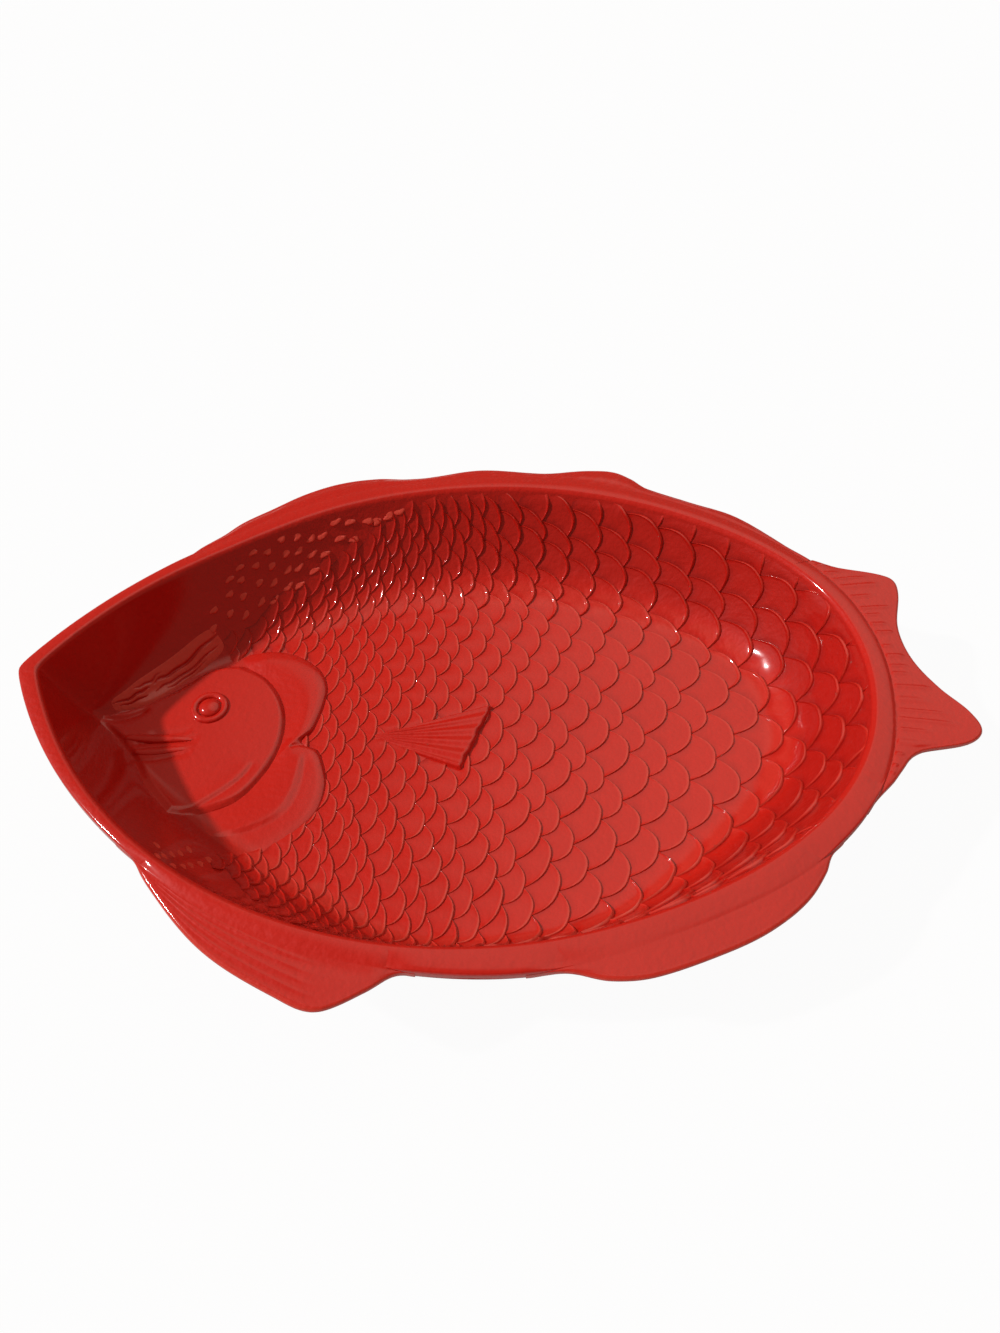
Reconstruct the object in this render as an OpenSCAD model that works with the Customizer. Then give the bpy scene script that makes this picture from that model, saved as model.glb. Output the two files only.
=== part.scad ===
// Fish shaped serving platter in glazed ceramic: a deep pointed-oval basin with the fish modelled inside it,
// and the fins laid out as flanges round the rim. The mouth points to -X, the tail to +X, the back to +Y.

/* [Basin] */
// Inside of the rim, from the widest place to the mouth corner
mouth_len = 202; // [185:1:220]
// Inside of the rim, from the widest place to the tail end
tail_len = 161.5; // [145:0.5:180]
// Half the width inside the rim
half_w = 122.6; // [108:0.2:136]
// Skew of the outline: how far the belly swells behind the mouth, and the back before the tail
body_skew = 7.5; // [0:0.5:9]
// Level run of the wall at the mouth corner, from the flat floor to the rim
mouth_run = 20; // [16:1:30]
// Level run of the wall at the tail end
tail_run = 39.5; // [30:0.5:50]
// Level run of the wall at the sides
side_run = 46.6; // [36:0.2:54]
// How much further the floor reaches on the belly's side, where the wall is steeper
belly_reach = 25; // [0:1:28]
// Depth of the basin below the rim
depth = 42; // [34:1:50]
// Thickness of the floor
floor_t = 5; // [4:0.5:7]
// Thickness of the wall, measured level
wall_t = 5; // [4:0.5:7]

/* [Foot] */
// Height of the foot ring
foot_h = 3; // [2:0.5:5]
// Width of the foot ring
foot_w = 6; // [4:0.5:9]
// Distance of the foot ring in from the edge of the flat floor
foot_inset = 10; // [6:1:20]

/* [Rim] */
// Width of the rim band
rim_w = 8; // [6:0.5:11]
// Height of the rim band
lip_h = 6; // [5:0.5:8]
// Drop of the rim band's top towards its outer edge
rim_drop = 1.2; // [0.8:0.1:1.6]

/* [Fins] */
// Reach of the dorsal fin beyond the rim
dorsal_reach = 14.5; // [10:0.5:19]
// Reach of the tail beyond the rim
tail_reach = 36.5; // [28:0.5:44]
// Reach of the anal fin beyond the rim
anal_reach = 13.2; // [9:0.2:17]
// Reach of the pelvic fin beyond the rim
pelvic_reach = 21; // [15:0.5:27]
// Thickness of a fin at its edge
fin_edge_t = 3; // [2:0.1:3.4]
// Height of the rays on a fin
ray_h = 0.5; // [0.3:0.1:0.8]

/* [Head] */
// Distance of the nose in from the mouth corner
nose_inset = 12; // [9:1:16]
// Length of the head, from the nose to the end of the gill cover
head_len = 113; // [100:1:118]
// Height of the head across the fish
head_w = 112; // [100:1:118]
// Thickness of the gill cover at its edge
gill_t = 2.8; // [2:0.2:4]
// Thickness of the cheek
cheek_t = 2.6; // [1.6:0.1:3.2]
// Width of the groove between the cheek and the gill cover
gill_groove = 1.6; // [1:0.1:2.4]
// Outer diameter of the ring round the eye
eye_d = 18; // [14:0.5:20]
// Diameter of the eyeball
eyeball_d = 11; // [8:0.5:12]
// Thickness of the lips
lip_t = 1.6; // [1:0.1:2.2]
// Width of a lip
lip_w = 4; // [3:0.2:5]
// Width of the carved crest above the face
crest_w = 11; // [8:0.5:13]
// Thickness of the crest
crest_t = 2.4; // [1.6:0.1:3.2]

/* [Pectoral fin] */
// Length of the pectoral fin
pectoral_len = 57; // [44:1:62]
// Width of the pectoral fin at its open end
pectoral_w = 37; // [28:1:44]
// Thickness of the pectoral fin at its open end
pectoral_t = 4.5; // [3:0.1:6]

/* [Scales] */
// Step from one column of scales to the next, beside the gill cover
scale_pitch = 4.25; // [3.8:0.05:5.2]
// Width of a scale beside the gill cover
scale_w = 18; // [16:0.5:21]
// Thickness of a scale at its free edge
scale_t = 1.3; // [0.8:0.1:1.8]
// Groove left between neighbouring scales
scale_groove = 0.7; // [0.4:0.1:1.2]

/* [Hidden] */
glaze = [0.78, 0.16, 0.12];
dark_glaze = [0.66, 0.10, 0.07];
clay = [0.86, 0.80, 0.72];

// Flat floor: lengths to the mouth and to the tail from the widest place, and half its width
floor_mouth_len = mouth_len - mouth_run;
floor_tail_len = tail_len - tail_run;
floor_half_w = half_w - side_run;
// Heights of the main levels
floor_z = foot_h + floor_t;
rim_z = floor_z + depth;
wall_top_z = rim_z - lip_h;
// Clearance under a piece that lies on the curved wall, and under the lips
seat_gap = 0.2;
lip_gap = 0.3;

// Counts of sections
quarter_steps = 16;
wall_steps = 6;
dorsal_steps = 54;
tail_steps = 32;
anal_steps = 32;
pelvic_steps = 32;

// Skew of the outline as shares of body_skew, by direction round the basin
skew_shares = [[-180, 0.35], [-161, 0.95], [-140, 1.03], [-114, 0.57], [-90, -0.03], [-58, -0.76], [-36, -0.79],
    [-4, -0.02], [16, 0.6], [28, 0.6], [48, 0.14], [96, -0.12], [128, -0.28], [150, -0.6], [168, 0],
    [180, 0.35]];
// Reach of the floor on the belly's side as shares of belly_reach, by direction round the basin
belly_shares = [[-180, 0], [-150, 0.05], [-130, 0.35], [-112, 0.9], [-90, 1], [-62, 0.95], [-45, 0.6], [-28, 0.15],
    [-10, 0], [8, 0], [180, 0]];
// Width of the rim band as shares of rim_w, by direction round the basin
rim_shares = [[-180, 1.1], [-151, 0.66], [-125, 0.85], [-84, 1.4], [-60, 1.2], [-25, 1.5], [0, 1.1],
    [150, 1.15], [166, 1], [180, 1.1]];
// Outlines of the fins as shares of their reach, by direction round the basin
dorsal_shares = [[27.5, 0.25], [32, 0.2], [43, 0.52], [51, 0.4], [60, 0.49], [64, 0.81], [68, 1], [73, 0.85],
    [82, 0.43], [96, 0.54], [107, 0.31], [112, 0.4], [117, 0.69], [124, 0.88], [131, 0.84], [138, 0.67],
    [144, 0.57], [149, 0.3], [158, 0.05]];
tail_shares = [[-22, 0.03], [-14, 0.16], [-10.5, 0.33], [-8, 0.85], [-6, 1], [-3.5, 0.9], [0, 0.6], [4, 0.39],
    [8, 0.33], [12, 0.41], [18, 0.74], [20, 0.73], [24, 0.3], [27, 0.13]];
anal_shares = [[-84, 0.06], [-78, 0.14], [-72, 0.64], [-66, 0.92], [-56, 1], [-48, 0.98], [-40, 0.74],
    [-32, 0.17], [-29, 0.06]];
pelvic_shares = [[-150, 0.02], [-147, 0.05], [-142, 0.25], [-130, 0.7], [-118, 0.94], [-114, 1], [-111.5, 0.9],
    [-107, 0.4], [-104, 0.14], [-101.5, 0.04]];
// Rays of each fin in a full turn round the basin
dorsal_rays = 90;
tail_rays = 150;
anal_rays = 100;
pelvic_rays = 90;

// Head outlines as shares of head_len and head_w, from the nose along the fish's axis
gill_edge_shares = [[0.513, 0.352], [0.6, 0.385], [0.69, 0.396], [0.796, 0.37], [0.894, 0.298],
    [0.938, 0.209], [0.938, 0.111], [0.912, -0.014], [0.868, -0.08], [0.938, -0.12], [0.982, -0.211],
    [1, -0.309], [0.973, -0.425], [0.894, -0.514], [0.78, -0.595], [0.655, -0.635]];
cheek_arc_shares = [[0.558, 0.318], [0.655, 0.262], [0.743, 0.155], [0.788, 0.03], [0.788, -0.112],
    [0.743, -0.246], [0.655, -0.371], [0.522, -0.434], [0.407, -0.461]];
face_shares = [[0.407, -0.461], [0.3, -0.36], [0.2, -0.24], [0.1, -0.12], [0.05, -0.018], [0.16, 0.065],
    [0.285, 0.175], [0.4, 0.28], [0.48, 0.315], [0.558, 0.318]];
crest_shares = [[0.088, 0.076], [0.265, 0.232], [0.465, 0.442]];
upper_lip_shares = [[0.07, -0.05], [0.24, -0.072], [0.42, -0.085]];
lower_lip_shares = [[0.12, -0.145], [0.26, -0.14], [0.41, -0.122]];
eye_shares = [0.46, 0.071];
pectoral_root_shares = [1.142, -0.041];
// Slant of the pectoral fin's open end, stations along its rays, and its height at the sides
pectoral_lean_share = 0.24;
pectoral_station_shares = [0.06, 0.5, 0.88, 1];
pectoral_side_share = 0.45;
pectoral_root_t_share = 0.3;
pectoral_end_t_share = 0.75;
pectoral_rays = 5;
// Rings of the cheek, from the level round the eye to its outline
cheek_ring_shares = [0, 0.25, 0.5, 0.7, 0.85, 1];
// Width at the ends of a ridge, and its height from one side across the dip in its middle to the other
ridge_end_share = 0.3;
ridge_height_shares = [0.15, 1, 0.6, 1, 0.15];

// Growth of the scales from the gill cover to the tail
scale_growth_share = 0.0383;
scale_w_growth_share = 0.0443;
scale_bow_share = 0.55;
scale_wander_share = 0.09;
scale_top_share = 0.9;
// Height of a scale up the wall as a share of its height on the floor
scale_squeeze_share = 1;
scale_bump_share = 0.55;
arc_mid_shares = [0.25, 0.6];
scale_rear_share = 0.72;
// Thickness of a scale round its outline, from the tip
scale_t_shares = [1, 1, 0.8, 0.3, 0.8, 1];
// How far the head reaches to the back, to the belly, and along the wall on either side
head_top_share = 0.4;
head_bottom_share = -0.61;
bare_back_share = 0.42;
bare_belly_share = 0.6;

// Plan radius of a pointed oval in a direction: an ellipse towards the tail, two arcs meeting at the mouth
function oval_r(dir, mouth, tail, half) =
    abs(dir) <= 90
        ? 1 / sqrt(pow(cos(dir) / tail, 2) + pow(sin(dir) / half, 2))
        : let (arc_r = (mouth * mouth + half * half) / (2 * half), drop = arc_r - half)
          sqrt(arc_r * arc_r - pow(drop * cos(dir), 2)) - drop * abs(sin(dir));

// Plan radius of the flat floor and of the rim's inner edge, and the level run of the wall between them
function floor_oval_r(dir) =
    oval_r(dir, floor_mouth_len, floor_tail_len, floor_half_w) + belly_reach * smooth_at(dir, belly_shares);
function wall_run(dir) = oval_r(dir, mouth_len, tail_len, half_w) - floor_oval_r(dir);
function floor_r(dir) = floor_oval_r(dir) + body_skew * smooth_at(dir, skew_shares);
function wall_r(dir, q) = floor_r(dir) + wall_run(dir) * q;
function rim_r(dir) = wall_r(dir, 1);
function rim_out_r(dir) = rim_r(dir) + rim_w * smooth_at(dir, rim_shares);
function polar(dir, r, z) = [r * cos(dir), r * sin(dir), z];

// Smooth value at a key, through hand-chosen [key, value] pairs in rising order of key
function smooth_at(key, pairs) =
    let (last = len(pairs) - 1,
         k = max([for (i = [0 : last - 1]) if (i == 0 || pairs[i][0] <= key) i]),
         a = pairs[k],
         b = pairs[k + 1],
         before = pairs[max(k - 1, 0)],
         after = pairs[min(k + 2, last)],
         span = b[0] - a[0],
         t = min(max((key - a[0]) / span, 0), 1),
         slope_a = (b[1] - before[1]) / (b[0] - before[0]),
         slope_b = (after[1] - a[1]) / (after[0] - a[0]))
    (2 * t * t * t - 3 * t * t + 1) * a[1] + (t * t * t - 2 * t * t + t) * span * slope_a
        + (3 * t * t - 2 * t * t * t) * b[1] + (t * t * t - t * t) * span * slope_b;

// Smooth point at a share t of the way along a list of points
function path_at(pts, t) =
    let (last = len(pts) - 1,
         k = min(floor(t * last), last - 1),
         f = t * last - k,
         a = pts[k],
         b = pts[k + 1],
         leave_a = (b - pts[max(k - 1, 0)]) / 2,
         reach_b = (pts[min(k + 2, last)] - a) / 2)
    (2 * f * f * f - 3 * f * f + 1) * a + (f * f * f - 2 * f * f + f) * leave_a
        + (3 * f * f - 2 * f * f * f) * b + (f * f * f - f * f) * reach_b;

// Share of the way up the wall that a plan point has, below zero on the flat floor
function climb_share(p) =
    let (dir = atan2(p[1], p[0]))
    (norm([p[0], p[1]]) - floor_r(dir)) / wall_run(dir);

// Point on the inside of the basin above a plan point: level floor, then a parabola up to the rim
function seat(p, lift = 0) =
    let (q = max(climb_share(p), 0), gap = q > 0 ? seat_gap : 0)
    [p[0], p[1], floor_z + depth * q * q + gap + lift];

// Directions of the sections round the basin: even steps along the arcs and the ellipse
mouth_arc_r = (mouth_len * mouth_len + half_w * half_w) / (2 * half_w);
mouth_arc_drop = mouth_arc_r - half_w;
mouth_arc_turn = asin(mouth_len / mouth_arc_r);
function mouth_dir(share) =
    let (a = mouth_arc_turn * share)
    atan2(mouth_arc_r * cos(a) - mouth_arc_drop, -mouth_arc_r * sin(a));
function tail_dir(share) = atan2(half_w * sin(90 * share), tail_len * cos(90 * share));
dirs = concat([for (i = [quarter_steps : -1 : 1]) -mouth_dir(i / quarter_steps)],
              [for (i = [quarter_steps : -1 : 1]) -tail_dir(i / quarter_steps)],
              [for (i = [0 : quarter_steps - 1]) tail_dir(i / quarter_steps)],
              [for (i = [0 : quarter_steps - 1]) mouth_dir(i / quarter_steps)]);

// Solid skinned over sections of equal point count, with its ends capped, or run round to the start again
module skin(sections, loop = false) {
    n = len(sections[0]);
    m = len(sections);
    sides = [for (i = [0 : loop ? m - 1 : m - 2]) for (j = [0 : n - 1])
        let (k = (j + 1) % n, h = (i + 1) % m)
        each [[i * n + j, h * n + k, i * n + k], [i * n + j, h * n + j, h * n + k]]];
    caps = loop ? [] : [[for (j = [0 : n - 1]) j], [for (j = [n - 1 : -1 : 0]) (m - 1) * n + j]];
    polyhedron([for (s = sections) each s], concat(sides, caps));
}

// Everything is drawn about the basin's widest place, then moved to put the origin at the box's bottom centre
fin_edges = concat([for (i = [0 : dorsal_steps]) fin_tip(dorsal_shares, dorsal_reach, i / dorsal_steps)],
                   [for (i = [0 : tail_steps]) fin_tip(tail_shares, tail_reach, i / tail_steps)],
                   [for (i = [0 : pelvic_steps]) fin_tip(pelvic_shares, pelvic_reach, i / pelvic_steps)],
                   [for (i = [0 : anal_steps]) fin_tip(anal_shares, anal_reach, i / anal_steps)],
                   [polar(180, rim_out_r(180), 0)]);
edge_xs = [for (p = fin_edges) p[0]];
edge_ys = [for (p = fin_edges) p[1]];
origin = -[min(edge_xs) + max(edge_xs), min(edge_ys) + max(edge_ys), 0] / 2;

// The cup: flat floor, wall rising as a parabola, and the outside a wall's thickness away
module basin() {
    top_q = sqrt((depth - lip_h) / depth);
    shares = [for (i = [0 : wall_steps]) top_q * i / wall_steps];
    outside = [for (q = shares)
        let (z = foot_h + (wall_top_z - foot_h) * pow(q / top_q, 2))
        [for (d = dirs) polar(d, wall_r(d, q) + wall_t, z)]];
    inside = [for (i = [wall_steps : -1 : 0])
        let (q = shares[i])
        [for (d = dirs) polar(d, wall_r(d, q), floor_z + depth * q * q)]];
    color(glaze) translate(origin) skin(concat(outside, inside));
}

// One cross-section of the rim band: up from the wall's top, over a tight crown and level to the outer edge
function rim_section(d) =
    let (top_q = sqrt((depth - lip_h) / depth),
         in_r = rim_r(d),
         out_r = rim_out_r(d),
         band = out_r - in_r)
    [polar(d, wall_r(d, top_q), wall_top_z),
     polar(d, wall_r(d, (1 + top_q) / 2), floor_z + depth * pow((1 + top_q) / 2, 2) - rim_drop / 4),
     polar(d, in_r + band / 12, rim_z - rim_drop / 4),
     polar(d, in_r + band / 4, rim_z),
     polar(d, in_r + band * 3 / 4, rim_z - rim_drop / 2),
     polar(d, out_r, rim_z - rim_drop),
     polar(d, out_r, wall_top_z)];

module rim() {
    color(glaze) translate(origin) skin([for (d = dirs) rim_section(d)], loop = true);
}

// Ring under the floor that the platter stands on
module foot_ring() {
    module floor_outline(inset) {
        polygon([for (d = dirs) let (r = floor_r(d) - inset) [r * cos(d), r * sin(d)]]);
    }
    color(clay) translate(origin) linear_extrude(foot_h) difference() {
        floor_outline(foot_inset);
        floor_outline(foot_inset + foot_w);
    }
}

// Plan radius of the rim's outer edge in a direction, on the flat between two sections of the rim
function rim_face_r(dir) =
    let (k = max([for (i = [0 : len(dirs) - 1]) if (dirs[i] <= dir || i == 0) i]),
         from_dir = dirs[k],
         to_dir = dirs[(k + 1) % len(dirs)],
         a = polar(from_dir, rim_out_r(from_dir), 0),
         b = polar(to_dir, rim_out_r(to_dir), 0),
         across = b - a)
    (a[0] * b[1] - a[1] * b[0]) / (cos(dir) * across[1] - sin(dir) * across[0]);

// Direction of a fin's section at a share of its length, and the place of its free edge there
function fin_dir(shares, t) = shares[0][0] + (shares[len(shares) - 1][0] - shares[0][0]) * t;
function fin_tip(shares, reach, t) =
    let (d = fin_dir(shares, t))
    polar(d, rim_face_r(d) + reach * max(smooth_at(d, shares), shares[0][1] / 2), 0);

// Flange that grows out of the rim's outer face, with rays across it and a thin rounded edge
module fin(shares, reach, steps, rays) {
    root_top_z = rim_z - rim_drop;
    edge_top_z = root_top_z - ray_h;
    sections = [for (i = [0 : steps])
        let (d = fin_dir(shares, i / steps),
             r = rim_face_r(d),
             span = norm(fin_tip(shares, reach, i / steps)) - r,
             ray = ray_h * cos(rays * d) / 2)
        [polar(d, r, wall_top_z),
         polar(d, r, root_top_z - ray_h),
         polar(d, r + span / 3, edge_top_z + ray),
         polar(d, r + span * 4 / 5, edge_top_z + ray),
         polar(d, r + span, edge_top_z - fin_edge_t / 3),
         polar(d, r + span, edge_top_z - fin_edge_t * 2 / 3),
         polar(d, r + span * 4 / 5, edge_top_z - fin_edge_t)]];
    skin(sections);
}

module dorsal_fin() {
    color(glaze) translate(origin) fin(dorsal_shares, dorsal_reach, dorsal_steps, dorsal_rays);
}

module tail_fin() {
    color(glaze) translate(origin) fin(tail_shares, tail_reach, tail_steps, tail_rays);
}

module anal_fin() {
    color(glaze) translate(origin) fin(anal_shares, anal_reach, anal_steps, anal_rays);
}

module pelvic_fin() {
    color(glaze) translate(origin) fin(pelvic_shares, pelvic_reach, pelvic_steps, pelvic_rays);
}

// Plan point of the head from shares of its length and width
nose_x = nose_inset - mouth_len;
function head_at(share) = [nose_x + head_len * share[0], head_w * share[1]];
gill_edge = [for (s = gill_edge_shares) head_at(s)];
cheek_arc = [for (s = cheek_arc_shares) head_at(s)];
face_edge = [for (s = face_shares) head_at(s)];
eye_at = head_at(eye_shares);
pectoral_root = head_at(pectoral_root_shares);

// Two-lobed plate behind the cheek, thickest near its free edge
module gill_cover() {
    steps = 30;
    sections = [for (i = [0 : steps])
        let (out = path_at(gill_edge, i / steps),
             arc = path_at(cheek_arc, i / steps),
             away = (out - arc) / norm(out - arc),
             in = arc + away * gill_groove / 2,
             taper = min(1, (1 - abs(2 * i / steps - 1)) * 3 + gill_groove / gill_t / 2),
             crown = in + (out - in) * 2 / 3)
        [seat(out), seat(out, gill_t * taper / 2), seat(crown, gill_t * taper), seat(in, gill_t * taper / 3),
         seat(in), seat(crown)]];
    color(glaze) translate(origin) skin(sections);
}

// Face and cheek: a low plate that is level round the eye and rolls off at its outline
module cheek() {
    steps = 17;
    pad_r = eye_d * 2 / 3;
    outline = concat([for (i = [0 : steps - 1]) path_at(cheek_arc, i / steps)],
                     [for (i = [0 : steps - 1]) path_at(face_edge, i / steps)]);
    edge = [for (p = outline) p + (eye_at - p) / norm(eye_at - p) * gill_groove / 2];
    pad = [for (p = outline) eye_at + (p - eye_at) / norm(p - eye_at) * pad_r];
    function ring(t, lift) = [for (i = [0 : len(edge) - 1]) seat(pad[i] + (edge[i] - pad[i]) * t, lift)];
    over = [for (t = cheek_ring_shares) ring(t, t == 1 ? cheek_t / 2 : cheek_t)];
    under = [for (i = [len(over) - 1 : -1 : 0]) ring(cheek_ring_shares[i], 0)];
    color(glaze) translate(origin) skin(concat(over, under));
}

// Raised ring round the eye, and the domed eyeball inside it
module eye_ring() {
    ring_w = (eye_d - eyeball_d) / 2 - seat_gap;
    color(glaze) translate(origin + [eye_at[0], eye_at[1], floor_z + cheek_t])
        rotate_extrude() translate([eye_d / 2 - ring_w / 2, 0]) intersection() {
            circle(d = ring_w);
            translate([-ring_w / 2, 0]) square([ring_w, ring_w / 2]);
        }
}

module eyeball() {
    color(glaze) translate(origin + [eye_at[0], eye_at[1], floor_z + cheek_t]) intersection() {
        translate([0, 0, -eyeball_d / 5]) sphere(d = eyeball_d);
        cylinder(h = eyeball_d, d = eyeball_d);
    }
}

// Ridge that follows a hand-chosen path over the inside of the basin, on something of a given thickness
module ridge(shares, width, height, base, steps) {
    path = [for (s = shares) head_at(s)];
    last = len(ridge_height_shares) - 1;
    sections = [for (i = [0 : steps])
        let (t = i / steps,
             p = path_at(path, t),
             along = path_at(path, min(t + 1 / steps, 1)) - path_at(path, max(t - 1 / steps, 0)),
             swell = ridge_end_share + (1 - ridge_end_share) * sin(180 * t),
             side = [-along[1], along[0]] / norm(along) * width / 2 * swell,
             across = [for (j = [0 : last]) p + side * (1 - 2 * j / last)])
        concat([for (j = [0 : last]) seat(across[j], base + height * ridge_height_shares[j])],
               [for (j = [last : -1 : 0]) seat(across[j], base)])];
    skin(sections);
}

module lips() {
    color(glaze) translate(origin) {
        ridge(upper_lip_shares, lip_w, lip_t, cheek_t + lip_gap, 8);
        ridge(lower_lip_shares, lip_w, lip_t, cheek_t + lip_gap, 8);
    }
}

module crest() {
    color(dark_glaze) translate(origin) ridge(crest_shares, crest_w, crest_t, 0, 12);
}

// Wedge with rays that stands proud of the floor at its open, scalloped end
module pectoral_fin() {
    across = 2 * pectoral_rays;
    last = len(pectoral_station_shares) - 1;
    function ray_end(a) =
        let (lobe = abs(sin(180 * pectoral_rays / 2 * a)),
             along = pectoral_len * (1 - pectoral_lean_share * a) + pectoral_t * lobe / 2)
        pectoral_root + [along, pectoral_w * (1 / 2 - a)];
    function ray_t(t) =
        let (rise_share = pectoral_root_t_share + (1 - pectoral_root_t_share) * t * t)
        pectoral_t * (t == 1 ? pectoral_end_t_share : rise_share);
    sections = [for (j = [0 : across])
        let (reach = ray_end(j / across) - pectoral_root,
             outer = j == 0 || j == across,
             thick = outer ? pectoral_side_share : 1 - ray_h / pectoral_t * (j % 2))
        concat([for (i = [0, last]) seat(pectoral_root + reach * pectoral_station_shares[i])],
               [for (i = [last : -1 : 0])
                   let (t = pectoral_station_shares[i])
                   seat(pectoral_root + reach * t, ray_t(t) * thick)])];
    color(glaze) translate(origin) skin(sections);
}

// Arc length along the wall from the floor's edge to a share q of the way up, over a level run
function wall_arc(q, run) =
    let (k = 2 * depth * q / run)
    run / 2 * (q * sqrt(1 + k * k) + run / (2 * depth) * ln(k + sqrt(k * k + 1)));
// Share of the way up that an arc length reaches, by Newton's steps
function wall_share(arc, run, q = 0.5, turns = 5) =
    turns == 0 ? q
        : let (pace = run * sqrt(1 + pow(2 * depth * q / run, 2)))
          wall_share(arc, run, q - (wall_arc(q, run) - arc) / pace, turns - 1);

// The scales are laid out on the inside as if it were rolled out flat. This folds a point back up the wall,
// where they lie closer
function folded(p) =
    let (dir = atan2(p[1], p[0]),
         floor_edge = floor_r(dir),
         past = (norm(p) - floor_edge) * scale_squeeze_share,
         run = wall_run(dir),
         r = past <= 0 ? norm(p) : floor_edge + run * wall_share(past, run))
    [r * cos(dir), r * sin(dir)];

// Columns of scales: short steps beside the head, then longer ones towards the tail
first_column_x = nose_x + head_len / 3;
last_column_x = floor_tail_len + wall_arc(1, tail_run) / scale_squeeze_share;
gill_end_x = nose_x + head_len;
function columns_from(x) =
    x > last_column_x ? []
        : concat([x], columns_from(x + scale_pitch + scale_growth_share * max(x - gill_end_x, 0)));
columns = columns_from(first_column_x);
column_row_w = [for (x = columns) scale_w + scale_w_growth_share * (x - gill_end_x)];

// Tip of the scale in a column and row, in the rolled-out plan; rows of odd columns lie half a scale over
function scale_tip(i, row) =
    let (x = columns[i],
         y = row * column_row_w[i],
         bow_r = half_w / scale_bow_share,
         ramp = min(max((x - gill_end_x) / head_len, 0), 1),
         wander = scale_wander_share * column_row_w[i] / 2)
    [x - ramp * (sqrt(bow_r * bow_r + y * y) - bow_r) + wander * sin(97 * i + 151 * row),
     y + wander * cos(67 * i + 211 * row)];

// Place part of the way along a scale's rounded free edge, from its tip to its side corner
function arc_mid(tip, corner) =
    [for (k = [0, 1]) tip[k] + (corner[k] - tip[k]) * arc_mid_shares[k]];

// Outline of one scale in plan: free edge to the tail, tucked behind its two neighbours towards the head
function scale_plan(i, row) =
    let (tip = scale_tip(i, row),
         left = scale_tip(i - 1, row + 1 / 2),
         right = scale_tip(i - 1, row - 1 / 2),
         rear = tip + (scale_tip(i - 2, row) - tip) * scale_rear_share,
         middle = (tip + left + right + rear) / 4,
         outline = [tip, arc_mid(tip, left), left, rear, right, arc_mid(tip, right)])
    [for (p = outline) let (way = middle - p) p + way / norm(way) * min(scale_groove / 2, norm(way) / 2)];

// Whether a scale's corner is clear of the head, and of the pectoral fin
function clear_of_head(p) =
    p[1] > head_w * head_top_share || p[1] < head_w * head_bottom_share
        ? p[0] > nose_x + head_len * (p[1] > 0 ? bare_back_share : bare_belly_share)
        : p[0] > max([for (e = gill_edge) if (abs(e[1] - p[1]) < scale_w / 2) e[0]]) + scale_groove;
function clear_of_pectoral(p) =
    let (x = p[0] - pectoral_root[0], y = p[1] - pectoral_root[1], t = x / pectoral_len)
    x < -scale_groove || x > pectoral_len + pectoral_t
        || abs(y) > pectoral_w / 2 * min(t, 1) + scale_groove;

// Scales whose outline passes: all of it below the rim and clear of the head and the pectoral fin
half_rows = ceil((floor_half_w + wall_arc(1, side_run) / scale_squeeze_share) / scale_w);
scale_plans = [for (i = [2 : len(columns) - 1]) for (r = [-half_rows : half_rows])
    let (plan = scale_plan(i, r + (i % 2) / 2),
         folds = [for (p = plan) folded(p)],
         heights = [for (p = folds) climb_share(p)],
         on_wall = min(heights) > 0)
    if (max(heights) < scale_top_share
        && min([for (p = folds) clear_of_head(p) && clear_of_pectoral(p) ? 1 : 0]) == 1)
    [folds, on_wall]];

// Scale as a wedge on the basin's inside, thickest at its free edge, standing square to the wall
function scale_points(folds, t_shares) =
    let (centre = (folds[0] + folds[len(folds) / 2]) / 2,
         shrink = min(1, max(scale_bump_share, 1 + (centre[0] + half_w / 2) / mouth_len)),
         fade = climb_share(centre) > 0 ? shrink : 1,
         plan = [for (p = folds) centre + (p - centre) * fade],
         dir = atan2(centre[1], centre[0]),
         slope = 2 * depth * max(climb_share(centre), 0) / wall_run(dir),
         up = [-slope * cos(dir), -slope * sin(dir), 1] / sqrt(1 + slope * slope))
    concat([for (p = plan) seat(p)],
           [for (k = [0 : len(plan) - 1]) seat(plan[k]) + up * scale_t * t_shares[k]]);

module scales(plans, t_shares) {
    n = len(t_shares);
    tile = [for (k = [1 : n - 2]) each [[0, k, k + 1], [n, n + k + 1, n + k]]];
    sides = [for (k = [0 : n - 1]) let (m = (k + 1) % n) each [[k, k + n, m + n], [k, m + n, m]]];
    points = [for (s = plans) each scale_points(s[0], t_shares)];
    faces = [for (i = [0 : len(plans) - 1]) for (f = concat(tile, sides)) [for (v = f) v + 2 * n * i]];
    polyhedron(points, faces);
}

module floor_scales() {
    color(glaze) translate(origin) scales([for (s = scale_plans) if (!s[1]) s], scale_t_shares);
}

module wall_scales() {
    color(dark_glaze) translate(origin) scales([for (s = scale_plans) if (s[1]) s], scale_t_shares);
}

basin();
rim();
foot_ring();
dorsal_fin();
tail_fin();
anal_fin();
pelvic_fin();
pectoral_fin();
gill_cover();
cheek();
eye_ring();
eyeball();
lips();
crest();
floor_scales();
wall_scales();
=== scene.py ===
# %% [markdown]
# # A fish shaped platter in red glaze
# The real platter is one casting of clay under a thick red glaze: a deep, pointed bowl with a fish modelled
# on its inside, and fins that grow out of its rim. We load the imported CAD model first. It fixes where every
# piece goes and how large it may be. Then each piece is built again as a fine mesh that takes its place.

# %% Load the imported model
import math

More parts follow.
